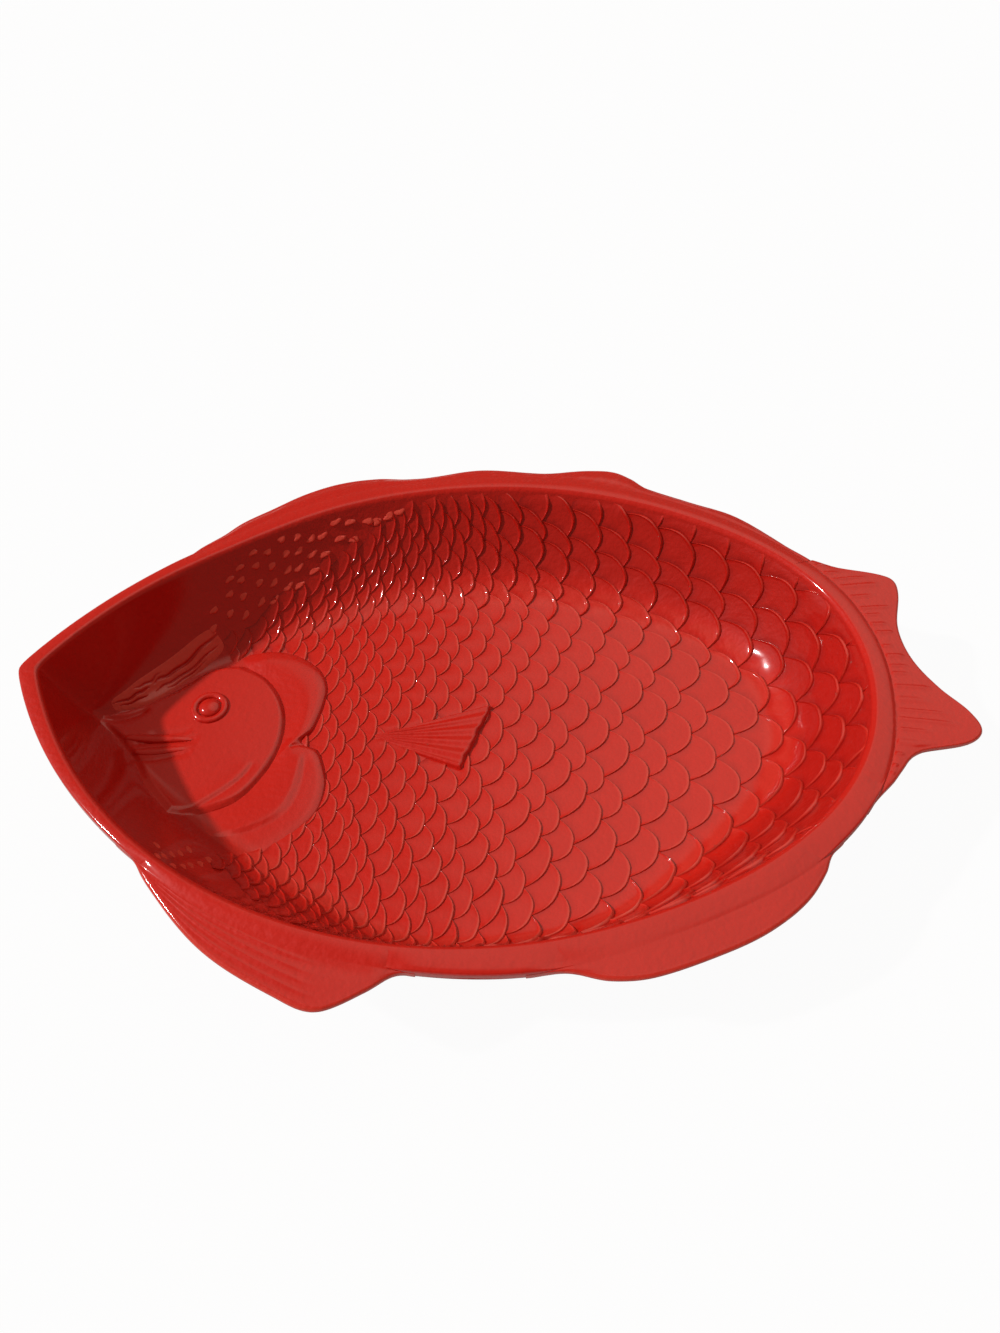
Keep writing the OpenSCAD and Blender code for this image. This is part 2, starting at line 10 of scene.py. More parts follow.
import bmesh
import bpy
import numpy as np
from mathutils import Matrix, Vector


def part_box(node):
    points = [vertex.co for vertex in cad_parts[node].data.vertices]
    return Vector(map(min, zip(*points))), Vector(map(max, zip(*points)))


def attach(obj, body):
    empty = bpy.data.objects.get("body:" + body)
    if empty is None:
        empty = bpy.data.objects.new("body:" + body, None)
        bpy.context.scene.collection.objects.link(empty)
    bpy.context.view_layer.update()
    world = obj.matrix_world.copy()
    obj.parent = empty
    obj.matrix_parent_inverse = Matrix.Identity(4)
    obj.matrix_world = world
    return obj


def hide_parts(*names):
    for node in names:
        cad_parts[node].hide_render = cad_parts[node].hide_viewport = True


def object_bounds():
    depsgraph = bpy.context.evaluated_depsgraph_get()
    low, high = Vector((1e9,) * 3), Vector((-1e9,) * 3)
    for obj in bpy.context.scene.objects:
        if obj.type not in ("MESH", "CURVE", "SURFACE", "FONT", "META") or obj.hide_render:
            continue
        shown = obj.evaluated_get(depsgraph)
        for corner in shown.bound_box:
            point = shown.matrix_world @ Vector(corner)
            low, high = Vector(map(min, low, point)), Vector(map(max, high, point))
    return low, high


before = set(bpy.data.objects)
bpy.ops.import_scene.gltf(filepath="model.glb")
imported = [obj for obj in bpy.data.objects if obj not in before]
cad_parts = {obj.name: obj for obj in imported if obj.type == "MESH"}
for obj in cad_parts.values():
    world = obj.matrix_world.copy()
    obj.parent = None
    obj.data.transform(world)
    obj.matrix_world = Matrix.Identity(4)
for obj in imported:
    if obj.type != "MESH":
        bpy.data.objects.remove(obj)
cad_low, cad_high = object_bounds()
print("CAD box:", [round(v, 4) for v in (*cad_low, *cad_high)])

# %% [markdown]
# ## The bowl in numbers
# A potter would describe this bowl by its plan and its depth. Seen from above it is half an ellipse towards
# the tail and two arcs that meet at the mouth, a little skewed: the belly swells behind the mouth, and the
# back before the tail. The floor is a smaller outline of the same kind, which reaches further on the
# belly's side, and the wall rises between the two as a parabola. Sculpting would give that shape once. A
# few formulas give it everywhere, so every scale and fin can ask them where the clay is. We work in
# millimetres about the bowl's widest place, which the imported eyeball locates.

# %% Sizes of the bowl, and where it stands
MM = 0.001
MOUTH_LEN = 202.0
TAIL_LEN = 161.5
HALF_W = 122.6
BODY_SKEW = 7.5
MOUTH_RUN = 20.0
TAIL_RUN = 39.5
SIDE_RUN = 46.6
BELLY_REACH = 25.0
WALL_T = 5.0
FLOOR_Z = 8.0
NOSE_X = 12.0 - MOUTH_LEN
HEAD_LEN = 113.0
HEAD_W = 112.0
RIM_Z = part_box("rim")[1].z / MM
WALL_TOP_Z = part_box("rim")[0].z / MM
FOOT_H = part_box("foot_ring")[1].z / MM
DEPTH = RIM_Z - FLOOR_Z
# Share of the level run at which the wall reaches the underside of the rim band
TOP_SHARE = math.sqrt((WALL_TOP_Z - FLOOR_Z) / DEPTH)


def head_at(shares):
    """Plan points of the head from shares of its length and width."""
    return np.array([NOSE_X, 0.0]) + np.array(shares) * [HEAD_LEN, HEAD_W]


eye_at = head_at((0.46, 0.071))
eye_middle = (np.array(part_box("eyeball")[0]) + np.array(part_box("eyeball")[1])) / 2
CENTRE = np.array([*(eye_middle[:2] - MM * eye_at), 0.0])
print("bowl centre:", CENTRE.round(4), "depth in mm:", round(DEPTH, 2))


# %% Smooth values between chosen ones
def hermite(f, start, end, leave, reach):
    """Smooth way from one value to another with given slopes at both ends."""
    return ((2 * f**3 - 3 * f**2 + 1) * start + (f**3 - 2 * f**2 + f) * leave
            + (3 * f**2 - 2 * f**3) * end + (f**3 - f**2) * reach)


def smooth_at(keys, pairs):
    """Smooth values at keys, through chosen (key, value) pairs in rising order of key."""
    at, value = np.array(pairs, float).T
    last = len(at) - 1
    k = np.clip(np.searchsorted(at, keys, side="right") - 1, 0, last - 1)
    before, after = np.maximum(k - 1, 0), np.minimum(k + 2, last)
    span = at[k + 1] - at[k]
    leave = (value[k + 1] - value[before]) / (at[k + 1] - at[before]) * span
    reach = (value[after] - value[k]) / (at[after] - at[k]) * span
    return hermite(np.clip((keys - at[k]) / span, 0, 1), value[k], value[k + 1], leave, reach)


def ease(x):
    """Rises from 0 to 1 with level ends."""
    x = np.clip(x, 0, 1)
    return x * x * (3 - 2 * x)


def degrees(turn):
    """Direction in degrees from -180 to 180."""
    return (np.degrees(turn) + 180) % 360 - 180


print("half way between 0 and 1:", float(ease(0.5)))

# %% Plan outlines
CORNER_SHARE = 0.012
SKEW_SHARES = [(-180, 0.35), (-161, 0.95), (-140, 1.03), (-114, 0.57), (-90, -0.03), (-58, -0.76), (-36, -0.79),
               (-4, -0.02), (16, 0.6), (28, 0.6), (48, 0.14), (96, -0.12), (128, -0.28), (150, -0.6), (168, 0),
               (180, 0.35)]
BELLY_SHARES = [(-180, 0), (-150, 0.05), (-130, 0.35), (-112, 0.9), (-90, 1), (-62, 0.95), (-45, 0.6), (-28, 0.15),
                (-10, 0), (8, 0), (180, 0)]


def pointed_oval(turn, mouth, tail, half):
    """Plan radius in a direction: an ellipse towards the tail, two arcs meeting softly at the mouth."""
    cos, sin = np.cos(turn), np.sin(turn)
    ellipse = 1 / np.hypot(cos / tail, sin / half)
    arc_r = (mouth**2 + half**2) / (2 * half)
    drop = arc_r - half
    soft_sin = np.sqrt(sin**2 + (CORNER_SHARE * cos**2) ** 2)
    arcs = np.sqrt(arc_r**2 - (drop * cos) ** 2) - drop * soft_sin
    return np.where(cos >= 0, ellipse, arcs)


def floor_oval(turn):
    even = pointed_oval(turn, MOUTH_LEN - MOUTH_RUN, TAIL_LEN - TAIL_RUN, HALF_W - SIDE_RUN)
    return even + BELLY_REACH * smooth_at(degrees(turn), BELLY_SHARES)


def floor_r(turn):
    return floor_oval(turn) + BODY_SKEW * smooth_at(degrees(turn), SKEW_SHARES)


def wall_run(turn):
    """Level run of the wall, from the floor's edge to the rim."""
    return pointed_oval(turn, MOUTH_LEN, TAIL_LEN, HALF_W) - floor_oval(turn)


def wall_r(turn, q):
    return floor_r(turn) + wall_run(turn) * q


def rim_r(turn):
    return wall_r(turn, 1)


def polar(turn, radius, z):
    """Points from directions, plan radii and heights that fit each other's shape."""
    turn, radius, z = np.broadcast_arrays(turn, radius, z)
    return np.stack([radius * np.cos(turn), radius * np.sin(turn), z], -1)


def climb(plan):
    """Share of the level run from the floor's edge to the rim, below zero on the flat floor."""
    turn = np.arctan2(plan[..., 1], plan[..., 0])
    return (np.hypot(plan[..., 0], plan[..., 1]) - floor_r(turn)) / wall_run(turn)


def on_plan(plan, lift=0.0):
    """Points on the inside of the bowl above plan points, lifted square to the clay."""
    turn = np.arctan2(plan[..., 1], plan[..., 0])
    q = np.maximum(climb(plan), 0)
    slope = 2 * DEPTH * q / wall_run(turn)
    normal = np.stack([-slope * np.cos(turn), -slope * np.sin(turn), np.ones_like(q)], -1)
    normal /= np.sqrt(1 + slope**2)[..., None]
    clay = np.stack([plan[..., 0], plan[..., 1], FLOOR_Z + DEPTH * q**2], -1)
    return clay + normal * np.broadcast_to(lift, q.shape)[..., None]


print("inside length and width in mm:", MOUTH_LEN + TAIL_LEN, 2 * HALF_W)

# %% [markdown]
# ## Shader maths as Python
# A glaze is described by sums: a little more of this colour where the coat is thin, a little rougher where
# it is mottled. Drawing those sums as nodes hides them, so one small class wraps a socket and lets Python's
# own operators add the Math nodes. Every other node comes from one method.


# %% A socket that does arithmetic, and what makes nodes
class Socket:
    """A shader output that adds Math nodes when it is used in an expression."""

    def __init__(self, nodes, output):
        self.nodes = nodes
        self.output = output

    def math(self, operation, first, second):
        return self.nodes.node("Math", {"operation": operation}, {0: first, 1: second})

    def __add__(self, other):
        return self.math("ADD", self, other)

    def __mul__(self, other):
        return self.math("MULTIPLY", self, other)

    __radd__ = __add__
    __rmul__ = __mul__


class Nodes:
    """A node tree that is filled from Python."""

    def __init__(self, tree):
        self.tree = tree

    def feed(self, socket, value):
        if isinstance(value, Socket):
            self.tree.links.new(value.output, socket)
        else:
            socket.default_value = value

    def node(self, kind, settings=None, sockets=None, out=0):
        """One node of a kind: its settings first, then the values or links of its sockets."""
        made = self.tree.nodes.new("ShaderNode" + kind)
        for name, value in (settings or {}).items():
            if name == "stops":
                for stop, (at, colour) in zip(made.color_ramp.elements, value):
                    stop.position = at
                    stop.color = colour
            else:
                setattr(made, name, value)
        for name, value in (sockets or {}).items():
            self.feed(made.inputs[name], value)
        return Socket(self, made.outputs[out])

    def blend(self, share, first, second):
        """Colour between two others, by a share that may vary over the surface."""
        return self.node("Mix", {"data_type": "RGBA"}, {0: share, 6: first, 7: second}, out=2)


class Finish(Nodes):
    """A node material for one surface."""

    def __init__(self, name):
        self.material = bpy.data.materials.new(name)
        self.material.use_nodes = True
        super().__init__(self.material.node_tree)
        self.surface = self.tree.nodes["Principled BSDF"]

    def set(self, **sockets):
        for name, value in sockets.items():
            self.feed(self.surface.inputs[name.replace("_", " ")], value)


print("shader helpers ready")

# %% [markdown]
# ## The red glaze
# Ceramic glaze is coloured glass. It is a soft red below and a clear, sharp gloss above, so it gets a body
# that is only half polished and a clear coat over it. The coat is never quite even: it clouds over a hand's
# width, speckles within a millimetre, runs paler where it draws thin over an edge and darker where it pools
# in a groove, and its skin has the faint ripple of orange peel. A single red would look like plastic. Each
# mesh brings one number for every point, from -1 in a groove to 1 on an edge, that says how thin the glaze
# lies there. The same number also carries painted light: painted highlights and sheen where it is above
# zero, painted shade where it is below.

# %% Glaze
DEEP_RED = (0.50, 0.008, 0.003, 1)
BRIGHT_RED = (0.60, 0.013, 0.005, 1)
SPECK_RED = (0.38, 0.006, 0.003, 1)
# The pooled red also serves as painted shade, and the thin red as painted highlight and sheen.
POOLED_AND_SHADED_RED = (0.26, 0.003, 0.002, 1)
THIN_AND_LIT_RED = (0.76, 0.12, 0.08, 1)
SKIN_RELIEF = 0.00025
glaze = Finish("red_glaze")
place = glaze.node("TexCoord", out="Object")
cloud = glaze.node("TexNoise", sockets={"Vector": place, "Scale": 16.0, "Detail": 2.0})
speck = glaze.node("TexNoise", sockets={"Vector": place, "Scale": 700.0, "Detail": 3.0})
ripple = glaze.node("TexNoise", sockets={"Vector": place, "Scale": 190.0, "Detail": 1.0})
peel = glaze.node("TexNoise", sockets={"Vector": place, "Scale": 430.0, "Detail": 1.0})
# How thin the glaze lies, and painted light: above zero painted highlights and sheen, below zero painted shade.
thin_and_light = glaze.node("Attribute", {"attribute_name": "glaze_thin_and_light"}, out="Fac")
body = glaze.blend(cloud, DEEP_RED, BRIGHT_RED)
mottled = glaze.blend(speck * 0.22, body, SPECK_RED)
pooled_and_shaded = glaze.blend(thin_and_light * -0.7, mottled, POOLED_AND_SHADED_RED)
coloured = glaze.blend(thin_and_light * 0.55, pooled_and_shaded, THIN_AND_LIT_RED)
skin = ripple + peel * 1.1 + speck * 0.1
skin_bump = glaze.node("Bump", sockets={"Strength": 1.0, "Distance": SKIN_RELIEF, "Height": skin})
glaze.set(Base_Color=coloured, Roughness=0.48 + speck * 0.12, Normal=skin_bump)
glaze.set(Coat_Weight=1.0, Coat_Roughness=0.08, Coat_IOR=1.5, Specular_IOR_Level=0.12)
print("glaze nodes:", len(glaze.tree.nodes))

# %% [markdown]
# ## The bare clay
# The ring that the platter stands on is wiped clean before firing, or it would stick to the kiln shelf.
# What is left is matt, buff clay with grains of iron. It is rough in the hand, so its grain goes into the
# bump too.

# %% Clay
PALE_BUFF = (0.72, 0.58, 0.44, 1)
DARK_BUFF = (0.60, 0.45, 0.32, 1)
IRON_BROWN = (0.30, 0.17, 0.10, 1)
clay = Finish("bare_clay")
clay_place = clay.node("TexCoord", out="Object")
grain = clay.node("TexNoise", sockets={"Vector": clay_place, "Scale": 900.0, "Detail": 4.0})
stain = clay.node("TexNoise", sockets={"Vector": clay_place, "Scale": 40.0, "Detail": 2.0})
iron = clay.node("ValToRGB", {"stops": [(0.62, (0, 0, 0, 1)), (0.70, (1, 1, 1, 1))]}, {"Fac": grain})
buff = clay.blend(stain, DARK_BUFF, PALE_BUFF)
speckled = clay.blend(iron * 0.6, buff, IRON_BROWN)
clay_bump = clay.node("Bump", sockets={"Strength": 1.0, "Distance": 0.0001, "Height": grain})
clay.set(Base_Color=speckled, Roughness=0.80 + grain * 0.15, Normal=clay_bump)
print("clay nodes:", len(clay.tree.nodes))

# %% [markdown]
# ## From points to pieces
# Every piece here is a closed skin over rows of points, as a net is drawn over a frame. Cubes and modifiers
# could reach the same forms with much pushing. Rows of points follow the formulas exactly and give the same
# mesh on every run. The helper below also names the new piece after the CAD node it stands for and hides that
# node.


# %% Skins over rows of points
def quads(rows, columns, wrap_rows=False, wrap_columns=False, start=0):
    """Index of each four-sided face between neighbouring rows and columns of a grid of points."""
    i, j = np.meshgrid(np.arange(rows if wrap_rows else rows - 1),
                       np.arange(columns if wrap_columns else columns - 1), indexing="ij")
    below = (i + 1) % rows
    beside = (j + 1) % columns
    corners = [i * columns + j, i * columns + beside, below * columns + beside, below * columns + j]
    return (start + np.stack(corners, -1).reshape(-1, 4)).tolist()


def tube(sections, start=0):
    """Faces of a tube through closed sections, with its two ends filled."""
    count, around = sections.shape[:2]
    ends = [list(range(start, start + around)),
            list(range(start + (count - 1) * around, start + count * around))]
    return quads(count, around, wrap_columns=True, start=start) + ends


def ring_faces(grid):
    """Faces of a closed section that is swept round a closed way."""
    return quads(*grid.shape[:2], wrap_rows=True, wrap_columns=True)


def plate(top, under, start=0):
    """Points and faces of a closed plate from two grids of equal shape: its face and its back."""
    rows, columns = top.shape[:2]
    back = start + rows * columns
    order = np.arange(rows * columns).reshape(rows, columns)
    border = np.concatenate([order[0, :-1], order[:-1, -1], order[-1, :0:-1], order[:0:-1, 0]])
    after = np.roll(border, -1)
    sides = np.stack([border + start, after + start, after + back, border + back], -1).tolist()
    points = np.concatenate([top.reshape(-1, 3), under.reshape(-1, 3)])
    return points, quads(rows, columns, start=start) + quads(rows, columns, start=back) + sides


def make_piece(node, points, faces, finish=glaze, slot="red_glaze", thin_glaze_and_light=None):
    """A finished mesh piece that stands for a CAD node and rides on the platter's one body."""
    points = np.asarray(points).reshape(-1, 3)
    mesh = bpy.data.meshes.new(node + "_glazed")
    mesh.from_pydata((CENTRE + MM * points).tolist(), [], faces)
    shape = bmesh.new()
    shape.from_mesh(mesh)
    bmesh.ops.recalc_face_normals(shape, faces=shape.faces[:])
    shape.to_mesh(mesh)
    shape.free()
    mesh.shade_smooth()
    mesh.set_sharp_from_angle(angle=math.radians(55))
    # The per-point number holds thin glaze and painted light.
    if thin_glaze_and_light is not None:
        layer = mesh.attributes.new("glaze_thin_and_light", "FLOAT", "POINT")
        layer.data.foreach_set("value", np.asarray(thin_glaze_and_light, float).ravel())
    mesh.materials.append(finish.material)
    piece = bpy.data.objects.new(node + "_glazed", mesh)
    bpy.context.collection.objects.link(piece)
    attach(piece, "root")
    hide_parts(node)
    print(f"{node}: {len(mesh.vertices)} points, {len(mesh.polygons)} faces")


# %% [markdown]
# ## The bowl
# The bowl is cast between a mould for its inside and one for its outside. Turning a profile on a wheel
# would give a round bowl, so the profile is instead walked round the pointed outline: out along the floor,
# up the wall, over, and down the outside again. Steps crowd together at the mouth, where the outline turns
# sharply. The glaze colour also carries painted light here: behind the head a painted sheen lightens the
# wall's foot, and on the wall's steep part painted shade darkens it. One function says so, because the
# scales on the wall need it too.

# %% Painted sheen and painted shade inside the bowl
WALL_PAINTED_SHADE = 0.5
SHADE_FROM = 0.32
SHADE_FADE = 0.2
FOOT_PAINTED_SHEEN = 0.2
FOOT_RISE = 0.12
FOOT_TOP = 0.26
FOOT_FADE = 0.14
BEHIND_HEAD_X = -125.0
BESIDE_HEAD_X = -130.0


def painted_wall_light(plan):
    """Painted sheen round the wall's foot behind the head, painted shade on the wall's steep part."""
    q, x = climb(plan), plan[..., 0]
    behind_head = ease((x - BEHIND_HEAD_X) / 30)
    foot = FOOT_PAINTED_SHEEN * ease(q / FOOT_RISE) * (1 - ease((q - FOOT_TOP) / FOOT_FADE)) * behind_head
    shade_from = SHADE_FROM * ease((x - BESIDE_HEAD_X) / 35)
    return foot - WALL_PAINTED_SHADE * ease((q - shade_from) / SHADE_FADE)


half_way_up = np.array([0.0, wall_r(np.pi / 2, 0.5)])
print("glaze half way up the wall:", painted_wall_light(half_way_up).round(2))

# %% Walk the bowl's profile round its outline
TURNS = 480
way = np.linspace(-1, 1, TURNS, endpoint=False)
turns = math.pi * (1 + 0.6 * way + 0.4 * way**3)
inside_climb = np.linspace(0, TOP_SHARE, 40)
outside_climb = np.linspace(TOP_SHARE, 0, 26)
floor_shares = [0.03, 0.15, 0.35, 0.55, 0.75, 0.9]
floor_rows = [polar(turns, floor_r(turns) * share, FLOOR_Z) for share in floor_shares]
inside_rows = [polar(turns, wall_r(turns, q), FLOOR_Z + DEPTH * q**2) for q in inside_climb]
outside_h = WALL_TOP_Z - FOOT_H
outside_rows = [polar(turns, wall_r(turns, q) + WALL_T, FOOT_H + outside_h * (q / TOP_SHARE) ** 2)
                for q in outside_climb]
under_rows = [polar(turns, floor_r(turns) * share, FOOT_H) for share in floor_shares[::-1]]
bowl = np.stack(floor_rows + inside_rows + outside_rows + under_rows)
# Painted sheen at the wall's foot and painted shade on its steep part, on the inside of the bowl.
bowl_painted_light = np.zeros(bowl.shape[:2])
inside = slice(len(floor_rows), len(floor_rows) + len(inside_rows))
bowl_painted_light[inside] = painted_wall_light(bowl[inside, :, :2])
make_piece("basin", bowl, tube(bowl), thin_glaze_and_light=bowl_painted_light)

# %% [markdown]
# ## The rim
# The rim is a flat band with a crisp inner edge, narrow under the fish's chin and broad by the tail. A
# bevel on the bowl's edge could not change its width like that, so the band is a closed section of its own,
# swept round the outline. Smooth values between a few chosen widths keep it free of kinks. Where a fin
# joins it, the band sinks a little so that the fin's skin can flow over it.

# %% Width of the rim, by direction
RIM_W = 8.0
RIM_DROP = 1.2
CROWN_IN = 1.8
RIM_SHARES = [(-180, 1.1), (-151, 0.66), (-125, 0.85), (-84, 1.4), (-60, 1.2), (-25, 1.5), (0, 1.1), (150, 1.15),
              (166, 1), (180, 1.1)]


def rim_out_r(turn):
    return rim_r(turn) + RIM_W * smooth_at(degrees(turn), RIM_SHARES)


print("rim band in mm, mouth to tail:", (rim_out_r(turns) - rim_r(turns))[:: TURNS // 8].round(1))

# %% Outlines of the fins, by direction
DORSAL = [(27.5, 0.25), (32, 0.2), (43, 0.52), (51, 0.4), (60, 0.49), (64, 0.81), (68, 1), (73, 0.85), (82, 0.43),
          (96, 0.54), (107, 0.31), (112, 0.4), (117, 0.69), (124, 0.88), (131, 0.84), (138, 0.67), (144, 0.57),
          (149, 0.3), (158, 0.05)]
TAIL = [(-22, 0.03), (-14, 0.16), (-10.5, 0.33), (-8, 0.85), (-6, 1), (-3.5, 0.9), (0, 0.6), (4, 0.39), (8, 0.33),
        (12, 0.41), (18, 0.74), (20, 0.73), (24, 0.3), (27, 0.13)]
ANAL = [(-84, 0.06), (-78, 0.14), (-72, 0.64), (-66, 0.92), (-56, 1), (-48, 0.98), (-40, 0.74), (-32, 0.17),
        (-29, 0.06)]
PELVIC = [(-150, 0.02), (-147, 0.05), (-142, 0.25), (-130, 0.7), (-118, 0.94), (-114, 1), (-111.5, 0.9),
          (-107, 0.4), (-104, 0.14), (-101.5, 0.04)]
DORSAL_REACH = 14.5
TAIL_REACH = 36.5
ANAL_REACH = 13.2
PELVIC_REACH = 21.0
FIN_MERGE = 6.0
THIN_END = 1.6


def fin_share(turn, pairs, reach):
    """Rises from 0 where a fin grows out of the rim to 1 inside it, or is 1 where it meets another fin."""
    at = degrees(turn)
    share = np.ones_like(at)
    for (end, tip), side in ((pairs[0], 1), (pairs[-1], -1)):
        meets_fin = tip * reach > THIN_END
        share *= np.where(meets_fin, (at - end) * side > -1, ease((at - end) * side / FIN_MERGE))
    return share


def fin_cover(turn):
    """How far a direction lies under a fin: 0 beside the fins, 1 well inside one."""
    fins = ((DORSAL, DORSAL_REACH), (TAIL, TAIL_REACH), (ANAL, ANAL_REACH), (PELVIC, PELVIC_REACH))
    return np.max([fin_share(turn, pairs, reach) for pairs, reach in fins], axis=0)


print("share of the rim under fins:", round(float(fin_cover(turns).mean()), 2))


# %% Sweep the rim's section
def bend(start, corner, end, steps):
    """Points along a rounded corner, from just past its start to its end."""
    t = np.linspace(0, 1, steps + 1)[1:]
    return [(1 - s) ** 2 * start + 2 * s * (1 - s) * corner + s**2 * end for s in t]


LIP_TOP = 0.975
ROLL_END = 0.92
FIN_SINK = 0.9
HEEL = 1.2
inner_r, outer_r = rim_r(turns), rim_out_r(turns)
band = outer_r - inner_r
lip_climb = np.linspace(TOP_SHARE, LIP_TOP, 5)
lip = [polar(turns, wall_r(turns, q), FLOOR_Z + DEPTH * q**2) for q in lip_climb]
lip_slope = 2 * DEPTH * lip_climb[-1] / wall_run(turns)
lip_corner = polar(turns, wall_r(turns, lip_climb[-1]) + (RIM_Z - lip[-1][:, 2]) / lip_slope, RIM_Z)
crown = polar(turns, inner_r + CROWN_IN, RIM_Z)
roll = [polar(turns, inner_r + CROWN_IN + (ROLL_END * band - CROWN_IN) * s,
              RIM_Z - RIM_DROP * 0.5 * s**2 - FIN_SINK * s * fin_cover(turns)) for s in np.linspace(0, 1, 6)[1:]]
shoulder = polar(turns, outer_r, RIM_Z - RIM_DROP * 0.8)
face_top = polar(turns, outer_r, RIM_Z - 1.8 * RIM_DROP)
face_low = polar(turns, outer_r, WALL_TOP_Z + HEEL)
heel = polar(turns, outer_r, WALL_TOP_Z)
under = polar(turns, outer_r - HEEL, WALL_TOP_Z)
band_rows = (lip + bend(lip[-1], lip_corner, crown, 6) + roll + bend(roll[-1], shoulder, face_top, 5)
             + [face_low] + bend(face_low, heel, under, 3))
band_grid = np.stack(band_rows)
band_painted_shade = np.zeros(band_grid.shape[:2])
# The rim's lip carries the wall's painted shade.
band_painted_shade[:len(lip)] = -WALL_PAINTED_SHADE
make_piece("rim", band_grid, ring_faces(band_grid), thin_glaze_and_light=band_painted_shade)

# %% [markdown]
# ## The fins
# Each fin is a flange of the same casting, level with the rim. Its skin leaves the rim's crown, carries the
# rays, and ends in a thick rounded edge. Cutting a flat plate to the outline would leave a hard step at the
# rim, so the section is bent instead, and how sharply it bends differs: the tail has a clear crease, the
# others hardly any. The edges are paler: the glaze draws thin there, and a painted highlight is added.

# %% One fin, section by section
FIN_LEVEL_DROP = 1.5
FIN_EDGE_T = 3.0
FACET_ROOM = 0.25
FIN_LAP = 0.4
END_SINK = 1.3
EDGE_W = 1.7
FLOW_W = 5.0
ROLL_SHARE = 0.9
CREASE_H = 0.35
LEAST_SPAN = 0.2
# Paler glaze along the fin's edge, partly thin glaze and partly a painted highlight.
EDGE_THIN_AND_HIGHLIGHT = [0.1, 0.2, 0.4, 0.6, 0.6, 0.4, 0.2]


def make_fin(node, pairs, reach, columns, creases, droops, rays):
    """A fin along its outline pairs. rays(plan, share across) gives the height of its rays."""
    turn = np.radians(np.linspace(pairs[0][0] - FIN_LAP, pairs[-1][0], columns))[:, None]
    crease = smooth_at(degrees(turn), creases)
    droop = smooth_at(degrees(turn), droops)
    outer = rim_out_r(turn)
    crown_r = rim_r(turn) + CROWN_IN
    span = reach * np.maximum(smooth_at(degrees(turn), pairs), pairs[0][1] / 2) - FACET_ROOM
    span = np.maximum(span * fin_share(turn, pairs, reach), LEAST_SPAN)
    edge_w = np.minimum(EDGE_W, span / 2)
    over = crown_r + (outer - crown_r) * np.linspace(0, 1, 10)
    out = outer + (span - edge_w) * np.linspace(0, 1, 34)[1:]
    radius = np.hstack([over, out])
    past = radius - outer
    across = np.clip(past / span, 0, 1)
    flowing = FIN_LEVEL_DROP * ease((radius - crown_r) / (outer - crown_r + np.minimum(FLOW_W, span / 2)))
    rolled = ROLL_SHARE * RIM_DROP * np.clip((radius - crown_r) / (outer - crown_r), 0, 1) ** 2
    creased = (rolled + (FIN_LEVEL_DROP - ROLL_SHARE * RIM_DROP) * ease((past + 0.7) / 1.4)
               + CREASE_H * np.exp(-((past - 0.2) / 0.8) ** 2))
    plan = polar(turn, radius, 0.0)[..., :2]
    on_fin = ease(past / 2) * ease((1 - across) * span / 4)
    z = (RIM_Z - crease * creased - (1 - crease) * flowing - droop * ease((across - 0.35) / 0.65)
         + rays(plan, across) * on_fin - END_SINK * (1 - fin_share(turn, pairs, reach)))
    top = polar(turn, radius, z)
    half_turn = np.radians(np.linspace(0, 180, 10)[1:])
    edge_z = z[:, -1:] - FIN_EDGE_T / 2 * (1 - np.cos(half_turn))
    edge = polar(turn, radius[:, -1:] + edge_w * np.sin(half_turn), edge_z)
    back_share = np.linspace(0, 1, 6)[1:]
    root_r = outer - 1.5
    back = polar(turn, radius[:, -1:] + (root_r - radius[:, -1:]) * back_share,
                 edge_z[:, -1:] + (WALL_TOP_Z + 0.5 - edge_z[:, -1:]) * back_share)
    buried = polar(turn, crown_r, np.full_like(crown_r, WALL_TOP_Z + 2))
    section = np.concatenate([top, edge, back, buried], axis=1)
    thin_and_light_share = np.zeros(section.shape[:2])
    edge_at = radius.shape[1] - 1
    thin_and_light_share[:, edge_at:edge_at + len(EDGE_THIN_AND_HIGHLIGHT)] = EDGE_THIN_AND_HIGHLIGHT
    make_piece(node, section, tube(section), thin_glaze_and_light=thin_and_light_share)


def ridges(phase, sharpness):
    """Thin ridges, one for each whole step of the phase."""
    return np.clip(np.cos(2 * np.pi * phase), 0, 1) ** sharpness


# %% Rays of the tail and the dorsal fin
RAY_LEAN = math.radians(50)


def tail_rays(plan, across):
    """Soft ribs from the rim outwards, unevenly spaced and of unequal length."""
    x, y = plan[..., 0], plan[..., 1]
    fan = (y - 12) * (1 - 0.003 * (x - TAIL_LEN))
    uneven = fan / 5.7 + 0.17 * np.sin(fan / 4.3) + 0.09 * np.sin(fan / 1.7 + 1)
    number = np.floor(uneven + 0.5)
    length = 0.66 + 0.16 * np.sin(2.4 * number)
    return 0.42 * ridges(uneven, 2) * (1 - ease((across - length + 0.25) / 0.3))


def faint_rays(side, pitch, height, sharpness):
    """Rays that lean back towards the tail, hardly raised, on the back (side 1) or the belly (side -1)."""
    def rays(plan, across):
        swept = plan[..., 0] * math.sin(RAY_LEAN) - side * plan[..., 1] * math.cos(RAY_LEAN)
        return height * ridges(swept / pitch, sharpness)
    return rays


make_fin("tail_fin", TAIL, TAIL_REACH, 260, [(-22, 0.3), (-14, 0.8), (20, 0.8), (27, 0.3)],
         [(-22, 0.5), (27, 0.5)], tail_rays)
make_fin("dorsal_fin", DORSAL, DORSAL_REACH, 320, [(27.5, 0.3), (34, 0.1), (158, 0.1)],
         [(27.5, 0.5), (34, 1), (105, 1), (120, 1.6), (142, 1.5), (158, 0.8)], faint_rays(1, 7.0, 0.06, 1.5))


